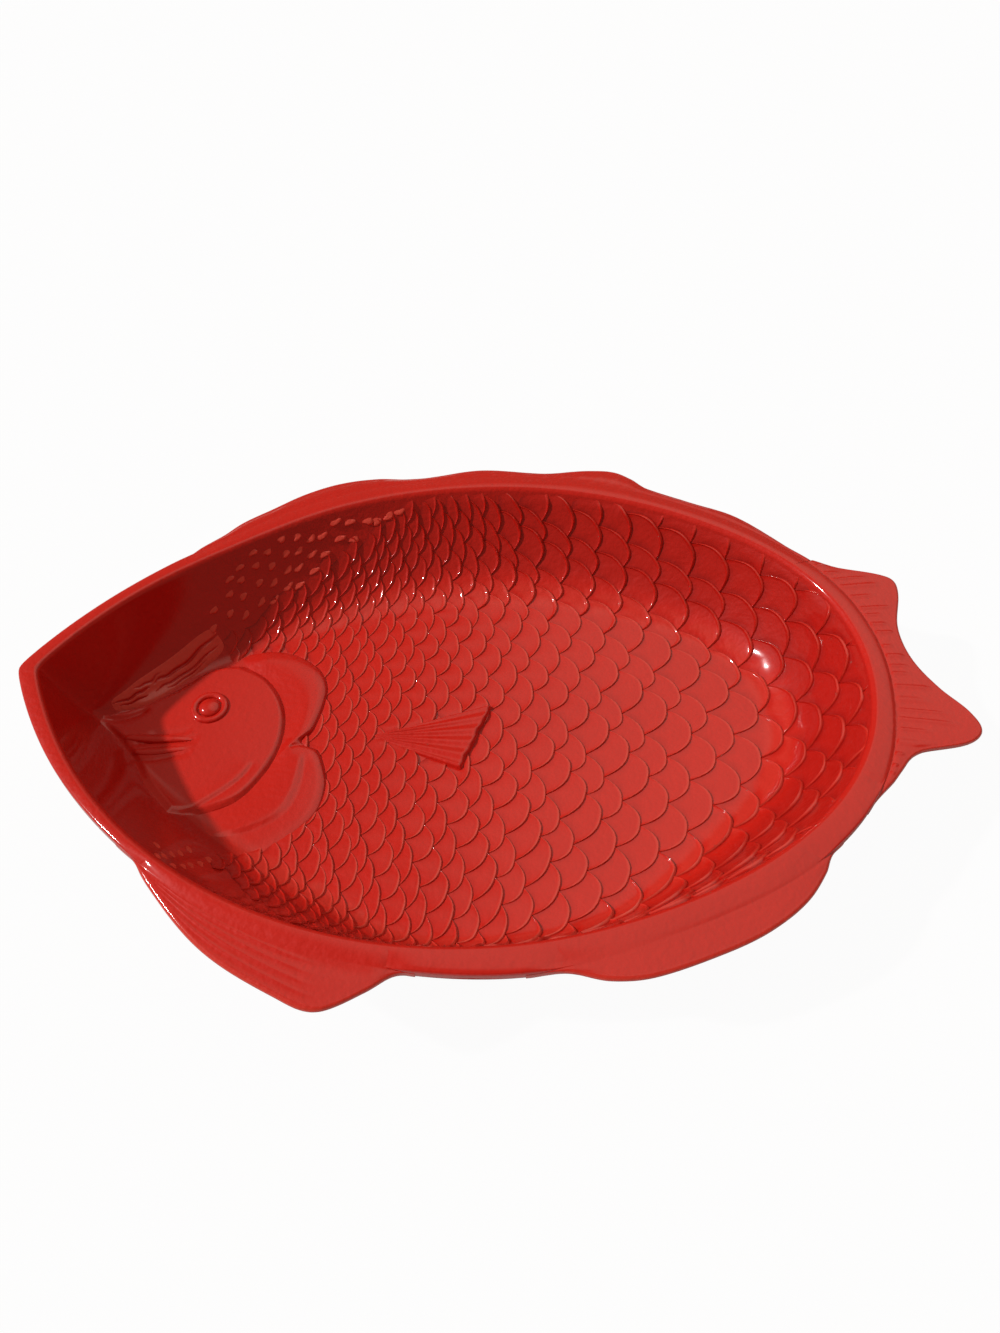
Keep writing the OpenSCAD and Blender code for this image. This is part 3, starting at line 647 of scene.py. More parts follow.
# %% Rays of the belly's two fins
def pelvic_rays(plan, across):
    """A few long streaks that run out along the fin from its narrow end."""
    x = plan[..., 0]
    middle = ease((x + 132) / 24) * ease((-58 - x) / 20)
    return 0.22 * ridges(5.5 * across + 0.06 * np.sin(x / 9), 1.5) * middle


make_fin("pelvic_fin", PELVIC, PELVIC_REACH, 260, [(-150, 0.1), (-101.5, 0.1)],
         [(-150, 0.4), (-101.5, 0.4)], pelvic_rays)
make_fin("anal_fin", ANAL, ANAL_REACH, 220, [(-84, 0), (-66, 0.1), (-52, 0.3), (-29, 0.3)],
         [(-84, 0.4), (-29, 0.4)], faint_rays(-1, 8.0, 0.05, 1.3))

# %% [markdown]
# ## The foot ring
# Under the floor a ring of bare clay lifts the platter off the table. Its edges are rubbed round with a
# sponge, which is why its section is rounded below rather than square.

# %% Foot ring
FOOT_W = 6.0
FOOT_INSET = 10.0
FOOT_ROUND = 1.2
FOOT_BITE = 0.3
foot_out_r = floor_r(turns) - FOOT_INSET
foot_in_r = foot_out_r - FOOT_W
foot_rows = [polar(turns, foot_out_r, FOOT_H + FOOT_BITE), polar(turns, foot_out_r, FOOT_ROUND)]
foot_rows += bend(foot_rows[-1], polar(turns, foot_out_r, 0.0), polar(turns, foot_out_r - FOOT_ROUND, 0.0), 4)
foot_rows += [polar(turns, foot_in_r + FOOT_ROUND, 0.0)]
foot_rows += bend(foot_rows[-1], polar(turns, foot_in_r, 0.0), polar(turns, foot_in_r, FOOT_ROUND), 4)
foot_rows += [polar(turns, foot_in_r, FOOT_H + FOOT_BITE)]
foot_grid = np.stack(foot_rows)
make_piece("foot_ring", foot_grid, ring_faces(foot_grid), finish=clay, slot="bare_clay")

# %% [markdown]
# ## The head
# The head is low relief: overlapping plates a few millimetres thick, like slips of clay laid on each other.
# A real modeller would cut the gill cover first, lay the cheek over its inner edge, and then draw the folds
# with a wooden tool. We do the same. Each plate is a patch of the bowl's inside with a height at every
# point, so a fold is just a dip or a step in that height along a drawn line.


# %% Drawn lines and how far a point is from them
def path_at(points, share):
    """Smooth points at shares of the way along a list of points."""
    points = np.asarray(points, float)
    last = len(points) - 1
    k = np.minimum((share * last).astype(int), last - 1)
    f = (share * last - k)[..., None]
    leave = (points[k + 1] - points[np.maximum(k - 1, 0)]) / 2
    reach = (points[np.minimum(k + 2, last)] - points[k]) / 2
    return hermite(f, points[k], points[k + 1], leave, reach)


def to_line(plan, points, samples=60):
    """Distance of plan points to a drawn line, positive on its left, and the share along it."""
    line = path_at(points, np.linspace(0, 1, samples))
    start, step = line[:-1], np.diff(line, axis=0)
    offset = plan[..., None, :] - start
    along = np.clip((offset * step).sum(-1) / (step**2).sum(-1), 0, 1)
    gap = offset - along[..., None] * step
    away = np.hypot(gap[..., 0], gap[..., 1])
    nearest = away.argmin(-1)[..., None]
    side = np.sign(step[..., 0] * offset[..., 1] - step[..., 1] * offset[..., 0])
    pick = np.take_along_axis(away * np.where(side == 0, 1, side), nearest, -1)[..., 0]
    share = (nearest + np.take_along_axis(along, nearest, -1))[..., 0] / (samples - 1)
    return pick, share


def groove(plan, points, width, depth):
    """Dip along a drawn line that fades out at both of its ends."""
    away, share = to_line(plan, points)
    return -depth * np.exp(-((away / width) ** 2)) * ease(share / 0.15) * ease((1 - share) / 0.15)


def fold(plan, points, width, height):
    """Step along a drawn line, up on its left, that fades out away from the line and at its ends."""
    away, share = to_line(plan, points)
    fade = np.exp(-np.abs(away) / (6 * width)) * ease(share / 0.12) * ease((1 - share) / 0.2)
    return height * np.tanh(away / width) * fade


gill_edge = head_at([(0.513, 0.352), (0.6, 0.385), (0.69, 0.396), (0.796, 0.37), (0.894, 0.298), (0.938, 0.209),
                     (0.938, 0.111), (0.912, -0.014), (0.868, -0.08), (0.938, -0.12), (0.982, -0.211),
                     (1, -0.309), (0.973, -0.425), (0.894, -0.514), (0.78, -0.595), (0.655, -0.635)])
cheek_arc = head_at([(0.558, 0.318), (0.655, 0.262), (0.743, 0.155), (0.788, 0.03), (0.788, -0.112),
                     (0.743, -0.246), (0.655, -0.371), (0.522, -0.434), (0.407, -0.461)])
face_edge = head_at([(0.407, -0.461), (0.29, -0.34), (0.205, -0.215), (0.1, -0.09), (0.005, 0.003), (0.14, 0.065),
                     (0.285, 0.175), (0.4, 0.28), (0.48, 0.315), (0.558, 0.318)])
print("head from", head_at((0, 0)).round(1), "to", head_at((1, 0)).round(1))

# %% Gill cover: a two-lobed plate that rolls off at its free edge
GILL_T = 2.8
GILL_ROOT_T = 0.5
GILL_LAP = 3.0
GILL_SINK = 0.25
GILL_FOLD = [(-90, -16), (-90, -27), (-91.5, -38), (-96, -47), (-104.5, -53), (-112, -56), (-125, -60.5)]
GILL_NOTCH = np.array([-86.5, -8.0])
NOTCH_CREASE = [(-85, -13), (-88, -12), (-93, -11.5), (-97, -13)]
along = np.linspace(0, 1, 170)
gill_out = path_at(gill_edge, along)
gill_in = path_at(cheek_arc, along)
inward = gill_in - gill_out
gill_in = gill_in + inward / np.linalg.norm(inward, axis=1, keepdims=True) * GILL_LAP
across = np.concatenate([np.linspace(0, 0.3, 16), np.linspace(0.3, 1, 20)[1:]])
gill_plan = gill_out[:, None] + (gill_in - gill_out)[:, None] * across[None, :, None]
from_edge = np.linalg.norm(gill_plan - gill_out[:, None], axis=-1)
roll_w = smooth_at(along, [(0, 9), (0.25, 7), (0.5, 4.6), (0.75, 5), (1, 9)])[:, None]
rolled_off = np.sqrt(1 - (1 - np.clip(from_edge / roll_w, 0, 1)) ** 2)
ends = (ease(along / 0.12) * ease((1 - along) / 0.34))[:, None]
gill_t = GILL_ROOT_T + (GILL_T - GILL_ROOT_T) * ease((1.05 - across) / 0.7)
gill_lift = gill_t * rolled_off * (0.05 + 0.95 * ends) - GILL_SINK
gill_lift += fold(gill_plan, GILL_FOLD, 0.9, -0.6)
notch_away = np.linalg.norm(gill_plan - GILL_NOTCH, axis=-1)
gill_lift += 1.1 * np.exp(-((notch_away / 2.6) ** 2)) * ease(from_edge / 2)
gill_lift += groove(gill_plan, NOTCH_CREASE, 0.9, 0.9)
make_piece("gill_cover", *plate(on_plan(gill_plan, gill_lift), on_plan(gill_plan, -2 * GILL_SINK)))

# %% Cheek: a plate about the eye, with the folds of the jaw and the mouth
CHEEK_T = 2.6
CHEEK_SINK = 0.3
FACE_FADE = 4.5
JAW = [(-112, -22), (-114.5, -27), (-118, -32), (-124.5, -38.5), (-132, -44.5), (-141, -51)]
# Drawn lines of the mouth, the chin, the upper lip and the nostril, each with its width and depth
FACE_CREASES = [([(-172, -13.8), (-165, -12.6), (-152, -11.4), (-139, -10.4)], 0.9, 1.0),
                ([(-169, -21.4), (-159, -21.6), (-149, -19), (-141, -16.4)], 0.9, 0.9),
                ([(-163, -7.4), (-154, -7), (-144, -5.6)], 1.0, 0.4),
                ([(-190, 0.6), (-184, 0.3), (-177.4, 0.8), (-171.6, 3.3), (-167, 7)], 1.3, 1.1)]
steps = np.linspace(0, 1, 91)[:-1]
outline = np.concatenate([path_at(cheek_arc, steps), path_at(face_edge, steps)])
reach_shares = np.concatenate([np.linspace(0.03, 0.8, 26), np.linspace(0.8, 1, 16)[1:]])
cheek_plan = eye_at + (outline - eye_at)[None] * reach_shares[:, None, None]
to_edge = np.linalg.norm(outline[None] - cheek_plan, axis=-1)
arc_share = np.concatenate([ease(steps / 0.2) * ease((1 - steps) / 0.2), np.zeros(len(steps))])
crisp = ease((to_edge + 1.2) / 4.6)
cheek_lift = CHEEK_T * (arc_share * crisp + (1 - arc_share) * ease(to_edge / FACE_FADE)) - CHEEK_SINK
cheek_lift += fold(cheek_plan, JAW, 0.8, -0.4) + groove(cheek_plan, JAW, 0.9, 0.35)
for line, width, depth in FACE_CREASES:
    cheek_lift += groove(cheek_plan, line, width, depth)
cheek_top = on_plan(cheek_plan, cheek_lift)
cheek_back = on_plan(cheek_plan, -2 * CHEEK_SINK)
cheek_grid = np.concatenate([cheek_top, cheek_back[::-1]])
make_piece("cheek", cheek_grid, tube(cheek_grid))

# %% [markdown]
# ## Eye, lips and crest
# The eye is a ring pressed from a tube end with a bead of clay inside, so both are turned about its centre.
# The lips are two rolled strings of clay, and the crest is a flat strip scored with a knife. Strings and
# strip follow a drawn line over the clay, each with its own section.


# %% Eye ring and eyeball
def turned(radii, heights, columns=72):
    """Closed form turned about the eye's centre, from its middle outwards and back below."""
    turn = np.linspace(0, 2 * np.pi, columns, endpoint=False)
    rows = np.stack([polar(turn, r, h) for r, h in zip(radii, heights)])
    return rows + np.array([eye_at[0], eye_at[1], FLOOR_Z + CHEEK_T - CHEEK_SINK])


RING_R = 7.3
RING_HALF_W = 1.75
RING_H = 1.5
BALL_R = 5.2
BALL_H = 2.5
EYE_ROOT = [-0.6, -0.6]
tube_turn = np.radians(np.linspace(180, 0, 13))
ring_r = RING_R + RING_HALF_W * np.cos(tube_turn)
ring_rows = turned(np.append(ring_r, [RING_R + RING_HALF_W, RING_R - RING_HALF_W]),
                   np.append(RING_H * np.sin(tube_turn), EYE_ROOT))
make_piece("eye_ring", ring_rows, ring_faces(ring_rows))
dome_turn = np.radians(np.linspace(86, 0, 12))
ball_rows = turned(np.append(BALL_R * np.cos(dome_turn), [BALL_R, 0.4]),
                   np.append(BALL_H * np.sin(dome_turn), EYE_ROOT))
make_piece("eyeball", ball_rows, tube(ball_rows))


# %% Strings and strips that follow a drawn line
def strip_plan(points, width, columns, rows):
    """Plan grid along a drawn line, with the share along it and from -1 to 1 across it."""
    along = np.linspace(0, 1, columns)
    line = path_at(points, along)
    tangent = np.gradient(line, axis=0)
    tangent /= np.linalg.norm(tangent, axis=1, keepdims=True)
    left = np.stack([-tangent[:, 1], tangent[:, 0]], -1)
    across = np.linspace(-1, 1, rows)
    half = np.broadcast_to(width, along.shape) / 2
    plan = line[:, None] + left[:, None] * (half[:, None] * across)[..., None]
    return plan, along[:, None], across[None, :]


def face_lift(plan):
    """Height of the cheek's plate in front of the eye, where it fades towards the mouth."""
    around = np.arctan2(outline[:, 1] - eye_at[1], outline[:, 0] - eye_at[0])
    order = np.argsort(around)
    edge_r = np.linalg.norm(outline - eye_at, axis=1)[order]
    offset = plan - eye_at
    gap = np.interp(np.arctan2(offset[..., 1], offset[..., 0]), around[order], edge_r, period=2 * np.pi)
    return CHEEK_T * ease((gap - np.hypot(offset[..., 0], offset[..., 1])) / FACE_FADE) - CHEEK_SINK


LIP_W = 4.6
LIP_T = 1.1
LIP_LINES = [[(0.12, -0.087), (0.26, -0.09), (0.42, -0.085)],
             [(0.17, -0.16), (0.28, -0.153), (0.42, -0.13)]]
lip_points, lip_faces = [], []
for shares in LIP_LINES:
    swell = 0.3 + 0.7 * np.sin(np.pi * np.linspace(0, 1, 50))
    lip_plan, along, across = strip_plan(head_at(shares), LIP_W * swell, 50, 13)
    lip_base = face_lift(lip_plan) - CHEEK_SINK
    lip_lift = lip_base + LIP_T * np.sqrt(1 - across**2) * ease(along / 0.2) * ease((1 - along) / 0.3)
    points, faces = plate(on_plan(lip_plan, lip_lift), on_plan(lip_plan, lip_base - 0.5),
                          start=sum(len(p) for p in lip_points))
    lip_points.append(points)
    lip_faces += faces
make_piece("lips", np.concatenate(lip_points), lip_faces)

# %% Crest, with the cuts of a knife along it
CREST_W = 11.0
CREST_T = 1.7
CREST_WIDTHS = [(0, 0.12), (0.15, 0.5), (0.4, 1), (0.8, 1), (0.95, 0.8), (1, 0.4)]
# Cuts as start and end, each along and across the strip, with their width and depth
CUTS = [((0.50, 0.30), (0.97, 0.24), 0.10, 1.1), ((0.10, 0.34), (0.46, 0.22), 0.09, 1.0),
        ((0.14, -0.10), (0.40, -0.26), 0.08, 0.9), ((0.48, -0.22), (0.92, -0.34), 0.08, 0.8),
        ((0.30, 0.62), (0.62, 0.60), 0.06, 0.6), ((0.58, -0.62), (0.84, -0.64), 0.06, 0.6)]
crest_line = head_at([(0.03, 0.045), (0.15, 0.125), (0.265, 0.232), (0.465, 0.442)])
crest_shape = smooth_at(np.linspace(0, 1, 150), CREST_WIDTHS)
crest_plan, along, across = strip_plan(crest_line, CREST_W * crest_shape, 150, 41)
crest_lift = CREST_T * (1 - np.abs(across) ** 4) * ease(along / 0.35) * ease((1 - along) / 0.2) - 0.3
# The crest is painted paler as a painted sheen, and its cuts are darker with pooled glaze and painted shade.
crest_sheen_pooling_and_shade = np.full(crest_lift.shape, 0.7)
for (from_along, from_across), (to_along, to_across), width, depth in CUTS:
    t = np.clip((along - from_along) / (to_along - from_along), 0, 1)
    waver = 0.07 * np.sin(19 * along + 7 * from_along) + 0.04 * np.sin(47 * along)
    centre = from_across + (to_across - from_across) * t + waver
    lens = width * np.sin(np.pi * t) ** 0.5 + 0.01
    gash = np.exp(-np.abs((across - centre) / lens) ** 3) * (np.sin(np.pi * t) ** 0.4)
    crest_lift -= depth * gash
    crest_sheen_pooling_and_shade -= 1.2 * gash
crest_points, crest_faces = plate(on_plan(crest_plan, crest_lift), on_plan(crest_plan, -0.7))
make_piece("crest", crest_points, crest_faces, thin_glaze_and_light=[crest_sheen_pooling_and_shade, np.zeros_like(crest_sheen_pooling_and_shade)])

# %% [markdown]
# ## The pectoral fin
# Behind the gill a small fin lies on the scales, a wedge that stands proud at its open end. It is one patch
# whose height grows along the rays, with a dip between each pair of them and a rounded drop at the end.

# %% Pectoral fin
PECTORAL_LEN = 57.0
PECTORAL_W = 37.0
PECTORAL_T = 3.6
PECTORAL_ROOT_T = 1.1
PECTORAL_RAYS = 5
SIDE_ROLL = 1.6
END_ROLL = 2.4
pectoral_root = head_at((1.142, -0.041))
ray_share = np.linspace(0, 1, 81)[:, None]
ray_along = np.concatenate([np.linspace(0.05, 0.94, 32), np.linspace(0.94, 1, 8)[1:]])[None, :]
lobe = np.abs(np.sin(np.pi * PECTORAL_RAYS / 2 * ray_share))
ray_len = PECTORAL_LEN * (1 - 0.24 * ray_share) + 0.8 * lobe
ray_reach = np.stack(np.broadcast_arrays(ray_len, PECTORAL_W * (0.5 - ray_share)), -1)
pectoral_plan = pectoral_root + ray_reach * ray_along[..., None]
side_gap = np.minimum(ray_share, 1 - ray_share) * PECTORAL_W * ray_along
side_roll = np.sqrt(1 - (1 - np.clip(side_gap / SIDE_ROLL, 0, 1)) ** 2)
end_gap = (1 - ray_along) * np.linalg.norm(ray_reach, axis=-1)
end_roll = np.sqrt(1 - (1 - np.clip(end_gap / END_ROLL, 0, 1)) ** 2)
rise = PECTORAL_ROOT_T + (PECTORAL_T - PECTORAL_ROOT_T) * ray_along**1.6
flutes = 0.3 * (np.cos(2 * np.pi * PECTORAL_RAYS * ray_share) - 1) * ease(ray_along / 0.4)
pectoral_lift = (rise + flutes) * side_roll * end_roll - 0.35
make_piece("pectoral_fin", *plate(on_plan(pectoral_plan, pectoral_lift), on_plan(pectoral_plan, -0.8)))
pectoral_outline = np.concatenate([pectoral_plan[:, 0], pectoral_plan[-1], pectoral_plan[::-1, -1],
                                   pectoral_plan[0, ::-1]])

# %% [markdown]
# ## The scales
# The scales are what makes the platter. They overlap like roof tiles: each rises from under the two before
# it and ends in a rounded lip towards the tail. An array of one tile would look mechanical, and a bump
# texture would be flat at the edges. So every scale gets its own closed mesh between its own arc and the
# arcs of its two neighbours. They are laid out on a flat sheet first, growing towards the tail, and the
# sheet is then folded up the wall. On the wall each lip swells to a bead, which catches the sparks of the
# lamp. Beside the head the wall shows no whole scales, only chips of them.


# %% Fold a flat sheet up the wall
def wall_arc(q, run):
    """Length along the wall from the floor's edge to a share q of its level run."""
    k = 2 * DEPTH * q / run
    return run / 2 * (q * np.sqrt(1 + k**2) + run / (2 * DEPTH) * np.arcsinh(k))


WALL_SHARE = 0.86


def folded(flat, top=2.0):
    """Plan points under a flat sheet that lies on the floor and runs, a little pressed, up the wall."""
    turn = np.arctan2(flat[..., 1], flat[..., 0])
    radius = np.hypot(flat[..., 0], flat[..., 1])
    edge, run = floor_r(turn), wall_run(turn)
    past = WALL_SHARE * np.maximum(radius - edge, 0)
    q = np.full_like(past, 0.5)
    for _ in range(7):
        q = q - (wall_arc(q, run) - past) / (run * np.sqrt(1 + (2 * DEPTH * q / run) ** 2))
    plan_r = np.where(past > 0, edge + run * np.minimum(q, top), radius)
    return np.stack([plan_r * np.cos(turn), plan_r * np.sin(turn)], -1)


SCALE_PITCH = 4.25
PITCH_GROWTH = 0.0383
SCALE_W = 18.0
WIDTH_GROWTH = 0.0443
gill_end_x = NOSE_X + HEAD_LEN
sheet_end_x = TAIL_LEN - TAIL_RUN + wall_arc(1, TAIL_RUN) / WALL_SHARE
columns = [NOSE_X + HEAD_LEN / 3]
while columns[-1] < sheet_end_x + SCALE_W:
    columns.append(columns[-1] + SCALE_PITCH + PITCH_GROWTH * max(columns[-1] - gill_end_x, 0))
columns = np.array(columns)
row_w = SCALE_W + WIDTH_GROWTH * (columns - gill_end_x)
print(len(columns), "columns of scales, from", columns[0].round(1), "to", columns[-1].round(1), "mm")


# %% One scale's outline on the flat sheet
BOW_R = HALF_W / 0.55
WANDER = 0.09
TIP_FULLNESS = 2.7


def scale_tip(i, row):
    """Tip of a scale: columns bow towards the tail's middle, and each tip wanders a little."""
    y = row * row_w[i]
    ramp = np.clip((columns[i] - gill_end_x) / HEAD_LEN, 0, 1)
    wander = WANDER * row_w[i] / 2
    bowed = columns[i] - ramp * (math.hypot(BOW_R, y) - BOW_R)
    return np.array([bowed + wander * math.sin(math.radians(97 * i + 151 * row)),
                     y + wander * math.cos(math.radians(67 * i + 211 * row))])


def free_edge(i, row, a):
    """Points on a scale's free edge, from its corner at a = -1 over its tip to its corner at a = 1."""
    left, right = scale_tip(i - 1, row + 0.5), scale_tip(i - 1, row - 0.5)
    middle = (left + right) / 2
    corner = np.where(a[:, None] >= 0, left - middle, right - middle)
    swell = (1 - np.abs(a) ** TIP_FULLNESS)[:, None]
    return middle + corner * np.abs(a)[:, None] + (scale_tip(i, row) - middle) * swell


def rear_edge(i, row, a):
    """Points where a scale comes out from under the two scales before it."""
    from_left = free_edge(i - 1, row + 0.5, np.clip(a, 0, 1) - 1)
    from_right = free_edge(i - 1, row - 0.5, np.clip(a, -1, 0) + 1)
    return np.where(a[:, None] >= 0, from_left, from_right)


def inside_gap(plan, outline):
    """Distance of plan points inside a closed outline, negative outside it."""
    start = np.asarray(outline, float)
    end = np.roll(start, -1, axis=0)
    step = end - start
    offset = plan[..., None, :] - start
    along = np.clip((offset * step).sum(-1) / np.maximum((step**2).sum(-1), 1e-12), 0, 1)
    away = np.linalg.norm(offset - along[..., None] * step, axis=-1).min(-1)
    y = plan[..., 1, None]
    crosses = (start[:, 1] > y) != (end[:, 1] > y)
    tall = np.where(step[:, 1] == 0, 1, step[:, 1])
    cross_x = start[:, 0] + (y - start[:, 1]) / tall * step[:, 0]
    inside = (crosses & (plan[..., 0, None] < cross_x)).sum(-1) % 2 == 1
    return np.where(inside, away, -away)


# Outline of the head, closed far out to the left, where no scales lie
bare_side = [(-128, -84), (-140, -130), (-240, -130), (-240, 130), (-172, 130), (-148, 60)]
head_outline = np.concatenate([path_at(gill_edge, np.linspace(0, 1, 50)), bare_side])
print("scale on the floor, tip at", scale_tip(30, 0.0).round(1))

# %% A scale as a closed shell
SCALE_T = 1.15
TUCK = 1.2
SCALE_CUTOFF = 0.985
CORNER_KEEP = 0.985
SCALE_BITE = 0.4
COVERED_BITE = 0.35
BEAD_ON_FLOOR = 0.04
BEAD_ON_WALL = 0.56
BEAD_AT = 0.55
BEAD_W = 0.6
BEAD_SHARE = 0.22
SOFTER_BY_HEAD = 0.4
SOFTER_FROM_X = 30.0
SOFTER_OVER = 90.0
a_steps = np.sin(np.linspace(-math.pi / 2, math.pi / 2, 17)) * CORNER_KEEP
# A scale's section: up from its rear, over the bead, round the lip and back below, each with how thin its glaze
# is.
# The rear is darker with pooled glaze and painted shade, the bead and the lip carry a painted highlight, and below
# the lip lies painted shade.
rise_steps = np.array([0, 0.14, 0.3, 0.46, 0.62, 0.76])
rise_pooled_and_shaded = [-0.9, -0.5, -0.15, 0, 0, 0]
bead_steps = np.array([2.2, 1.6, 1.15, 0.8, 0.5, 0.2])
bead_thin_and_highlight = [0, 0, 0.1, 0.25, 0.45, 0.7]
lip_out = np.array([0.0, 0.22, 0.4, 0.5, 0.53])
lip_height = np.array([0.97, 0.80, 0.48, 0.12, -0.3])
lip_bead = np.array([0.43, 0.25, 0.1, 0, 0])
lip_thin_and_light = [0.9, 0.8, 0.2, -0.4, -0.8]
back_steps = np.array([0.5, 0.0])
back_thin = [0, 0]
scale_thin_and_light = np.array(rise_pooled_and_shaded + bead_thin_and_highlight + lip_thin_and_light + back_thin)


def lift_fade(plan):
    """1 where a scale stands free, 0 where the head or the pectoral fin lies over it or the rim begins."""
    under_head = np.clip(1 - inside_gap(plan, head_outline) / 3, 0, 1)
    under_fin = np.clip(1 - inside_gap(plan, pectoral_outline) / 2, 0, 1)
    below_rim = ease((SCALE_CUTOFF - climb(plan)) / 0.06)
    return under_head * under_fin * below_rim


def scale_shell(i, row):
    """Sections of one scale's closed shell, and how thin the glaze lies on it, with its painted shade and
    highlights.
    """
    front = free_edge(i, row, a_steps)
    rear = rear_edge(i, row, a_steps) - [TUCK, 0]
    length = np.linalg.norm(front - rear, axis=1, keepdims=True)
    out = (front - rear) / length
    tip = folded(scale_tip(i, row))
    on_wall = ease(climb(tip) / 0.25)
    bead = BEAD_ON_FLOOR + BEAD_ON_WALL * on_wall
    bead_room = np.minimum(1, BEAD_SHARE * length[:, 0] / bead_steps[0])
    softness = 1 - SOFTER_BY_HEAD * on_wall * ease((SOFTER_FROM_X - tip[0]) / SOFTER_OVER)
    thick = SCALE_T * softness * (1 + 0.12 * math.sin(5 * i + 9 * row)) * (1 - 0.45 * np.abs(a_steps) ** 3)
    flats, lifts = [], []
    for t in rise_steps:
        flats.append(rear + (front - rear) * t)
        lifts.append(thick * (0.10 + 0.90 * t**0.9))
    for gap in bead_steps:
        behind = gap * bead_room
        flats.append(front - out * behind[:, None])
        swell = bead * math.exp(-(((gap - BEAD_AT) / BEAD_W) ** 2))
        lifts.append(thick * (0.10 + 0.90 * (1 - behind / length[:, 0]) ** 0.9 + swell))
    for gap, height in zip(lip_out, lip_height + bead * lip_bead):
        flats.append(front + out * gap)
        lifts.append(thick * height)
    for t in back_steps:
        flats.append(rear + (front - rear) * t)
        lifts.append(np.full_like(thick, -SCALE_BITE))
    plan = folded(np.stack(flats), SCALE_CUTOFF)
    fade = lift_fade(plan)
    lift = np.stack(lifts)
    lift = np.where(lift > 0, lift * fade - COVERED_BITE * (1 - fade), lift)
    # Adds the wall's painted sheen and painted shade to the scale's own.
    thin_and_light_share = scale_thin_and_light[:, None] + painted_wall_light(plan)
    return np.swapaxes(on_plan(plan, lift), 0, 1), thin_and_light_share.T


print("points in a scale:", len(a_steps) * len(scale_thin_and_light))

# %% A chip of a scale
CHIP_W = 2.9
CHIP_TALL = 1.8
CHIP_T = 0.5
CHIP_TILT = 0.45
chip_rings = np.array([0.1, 0.4, 0.7, 0.88, 0.96, 1.0])
# Chips are painted pale as a painted highlight of their lit faces, with painted shade round their foot.
chip_highlight_and_shade = np.array([0.9, 0.9, 0.9, 0.7, 0.2, -0.4, -0.4])[:, None]


def chip_shell(i, row, size):
    """Rings of a small tilted chip, which is all that shows of a scale high on the wall beside the head."""
    turn = np.linspace(0, 2 * np.pi, 20, endpoint=False)
    luck = 3.7 * i + 5.3 * row
    uneven = 1 + 0.2 * np.cos(2 * turn + luck) + 0.14 * np.cos(3 * turn + 2 * luck)
    middle = scale_tip(i, row) + [1.2 * math.sin(7 * luck), 1.6 * math.cos(5 * luck)]
    up = middle / np.linalg.norm(middle)
    sideways = np.array([up[1], -up[0]])
    wide, tall = CHIP_W * size * uneven * np.cos(turn), CHIP_TALL * size * uneven * np.sin(turn)
    flats = middle + chip_rings[:, None, None] * (np.outer(wide, sideways) + np.outer(tall, up))
    plan = folded(np.concatenate([flats, flats[-1:]]), SCALE_CUTOFF)
    lift = size * (CHIP_T - CHIP_TILT * np.outer(chip_rings, np.sin(turn))) * (1 - chip_rings[:, None] ** 6)
    return on_plan(plan, np.concatenate([lift - 0.05, np.full((1, len(turn)), -0.5)]))


print("points in a chip:", (len(chip_rings) + 1) * 20)

# %% Choose the scales, floor and wall apart
HALF_ROWS = 12
CHIPS_LOW_X = -140.0
CHIPS_SPREAD = 110.0
CHIPS_FROM_X = -152.0
CHIPS_BELLY_X = -120.0
CHIPS_CLIMB = (0.5, 0.94)
CHIPS_GAP = 3.0


def chips_begin(q):
    """Lengthwise place left of which only chips show at a height on the wall."""
    return CHIPS_LOW_X + CHIPS_SPREAD * q**2


def chip_size(x):
    """Chips grow away from the mouth."""
    return 0.85 + 0.4 * ease((x + 150) / 110)


shells = {"floor": [], "wall": [], "chip": []}
for i in range(3, len(columns)):
    for step in range(-HALF_ROWS, HALF_ROWS + 1):
        row = step + (i % 2) / 2
        ends = folded(np.stack([scale_tip(i, row), scale_tip(i - 2, row)]))
        tip, (tip_climb, rear_climb) = ends[0], climb(ends)
        scaly = tip_climb < 0.2 or tip[0] > chips_begin(tip_climb)
        clear = inside_gap(tip, head_outline) < 1.5 and inside_gap(tip, pectoral_outline) < 3
        if rear_climb < 0.95 and scaly and clear:
            shells["wall" if tip_climb > 0.02 else "floor"].append(scale_shell(i, row))
for i in range(len(columns)):
    for step in range(-HALF_ROWS, HALF_ROWS + 1):
        row = step + (i % 2) / 2
        tip = folded(scale_tip(i, row))
        tip_climb = climb(tip)
        chips_end = chips_begin(tip_climb) - CHIPS_GAP if tip[1] > 0 else CHIPS_BELLY_X
        in_field = CHIPS_CLIMB[0] < tip_climb < CHIPS_CLIMB[1] and CHIPS_FROM_X < tip[0] < chips_end
        if in_field and inside_gap(tip, head_outline) < 12:
            shells["chip"].append((chip_shell(i, row, chip_size(tip[0])), chip_highlight_and_shade))
print({kind: len(found) for kind, found in shells.items()})


# %% Lay the scales
def lay(node, found):
    """All scales of one region as one piece of separate closed shells."""
    points, faces, thin_and_light_shares = [], [], []
    laid = 0
    for shell, thin_and_light_share in found:
        faces += tube(shell, start=laid)
        points.append(shell.reshape(-1, 3))
        thin_and_light_shares.append(np.broadcast_to(thin_and_light_share, shell.shape[:2]).ravel())
        laid += len(points[-1])
    make_piece(node, np.concatenate(points), faces, thin_glaze_and_light=np.concatenate(thin_and_light_shares))


lay("floor_scales", shells["floor"])
lay("wall_scales", shells["wall"] + shells["chip"])

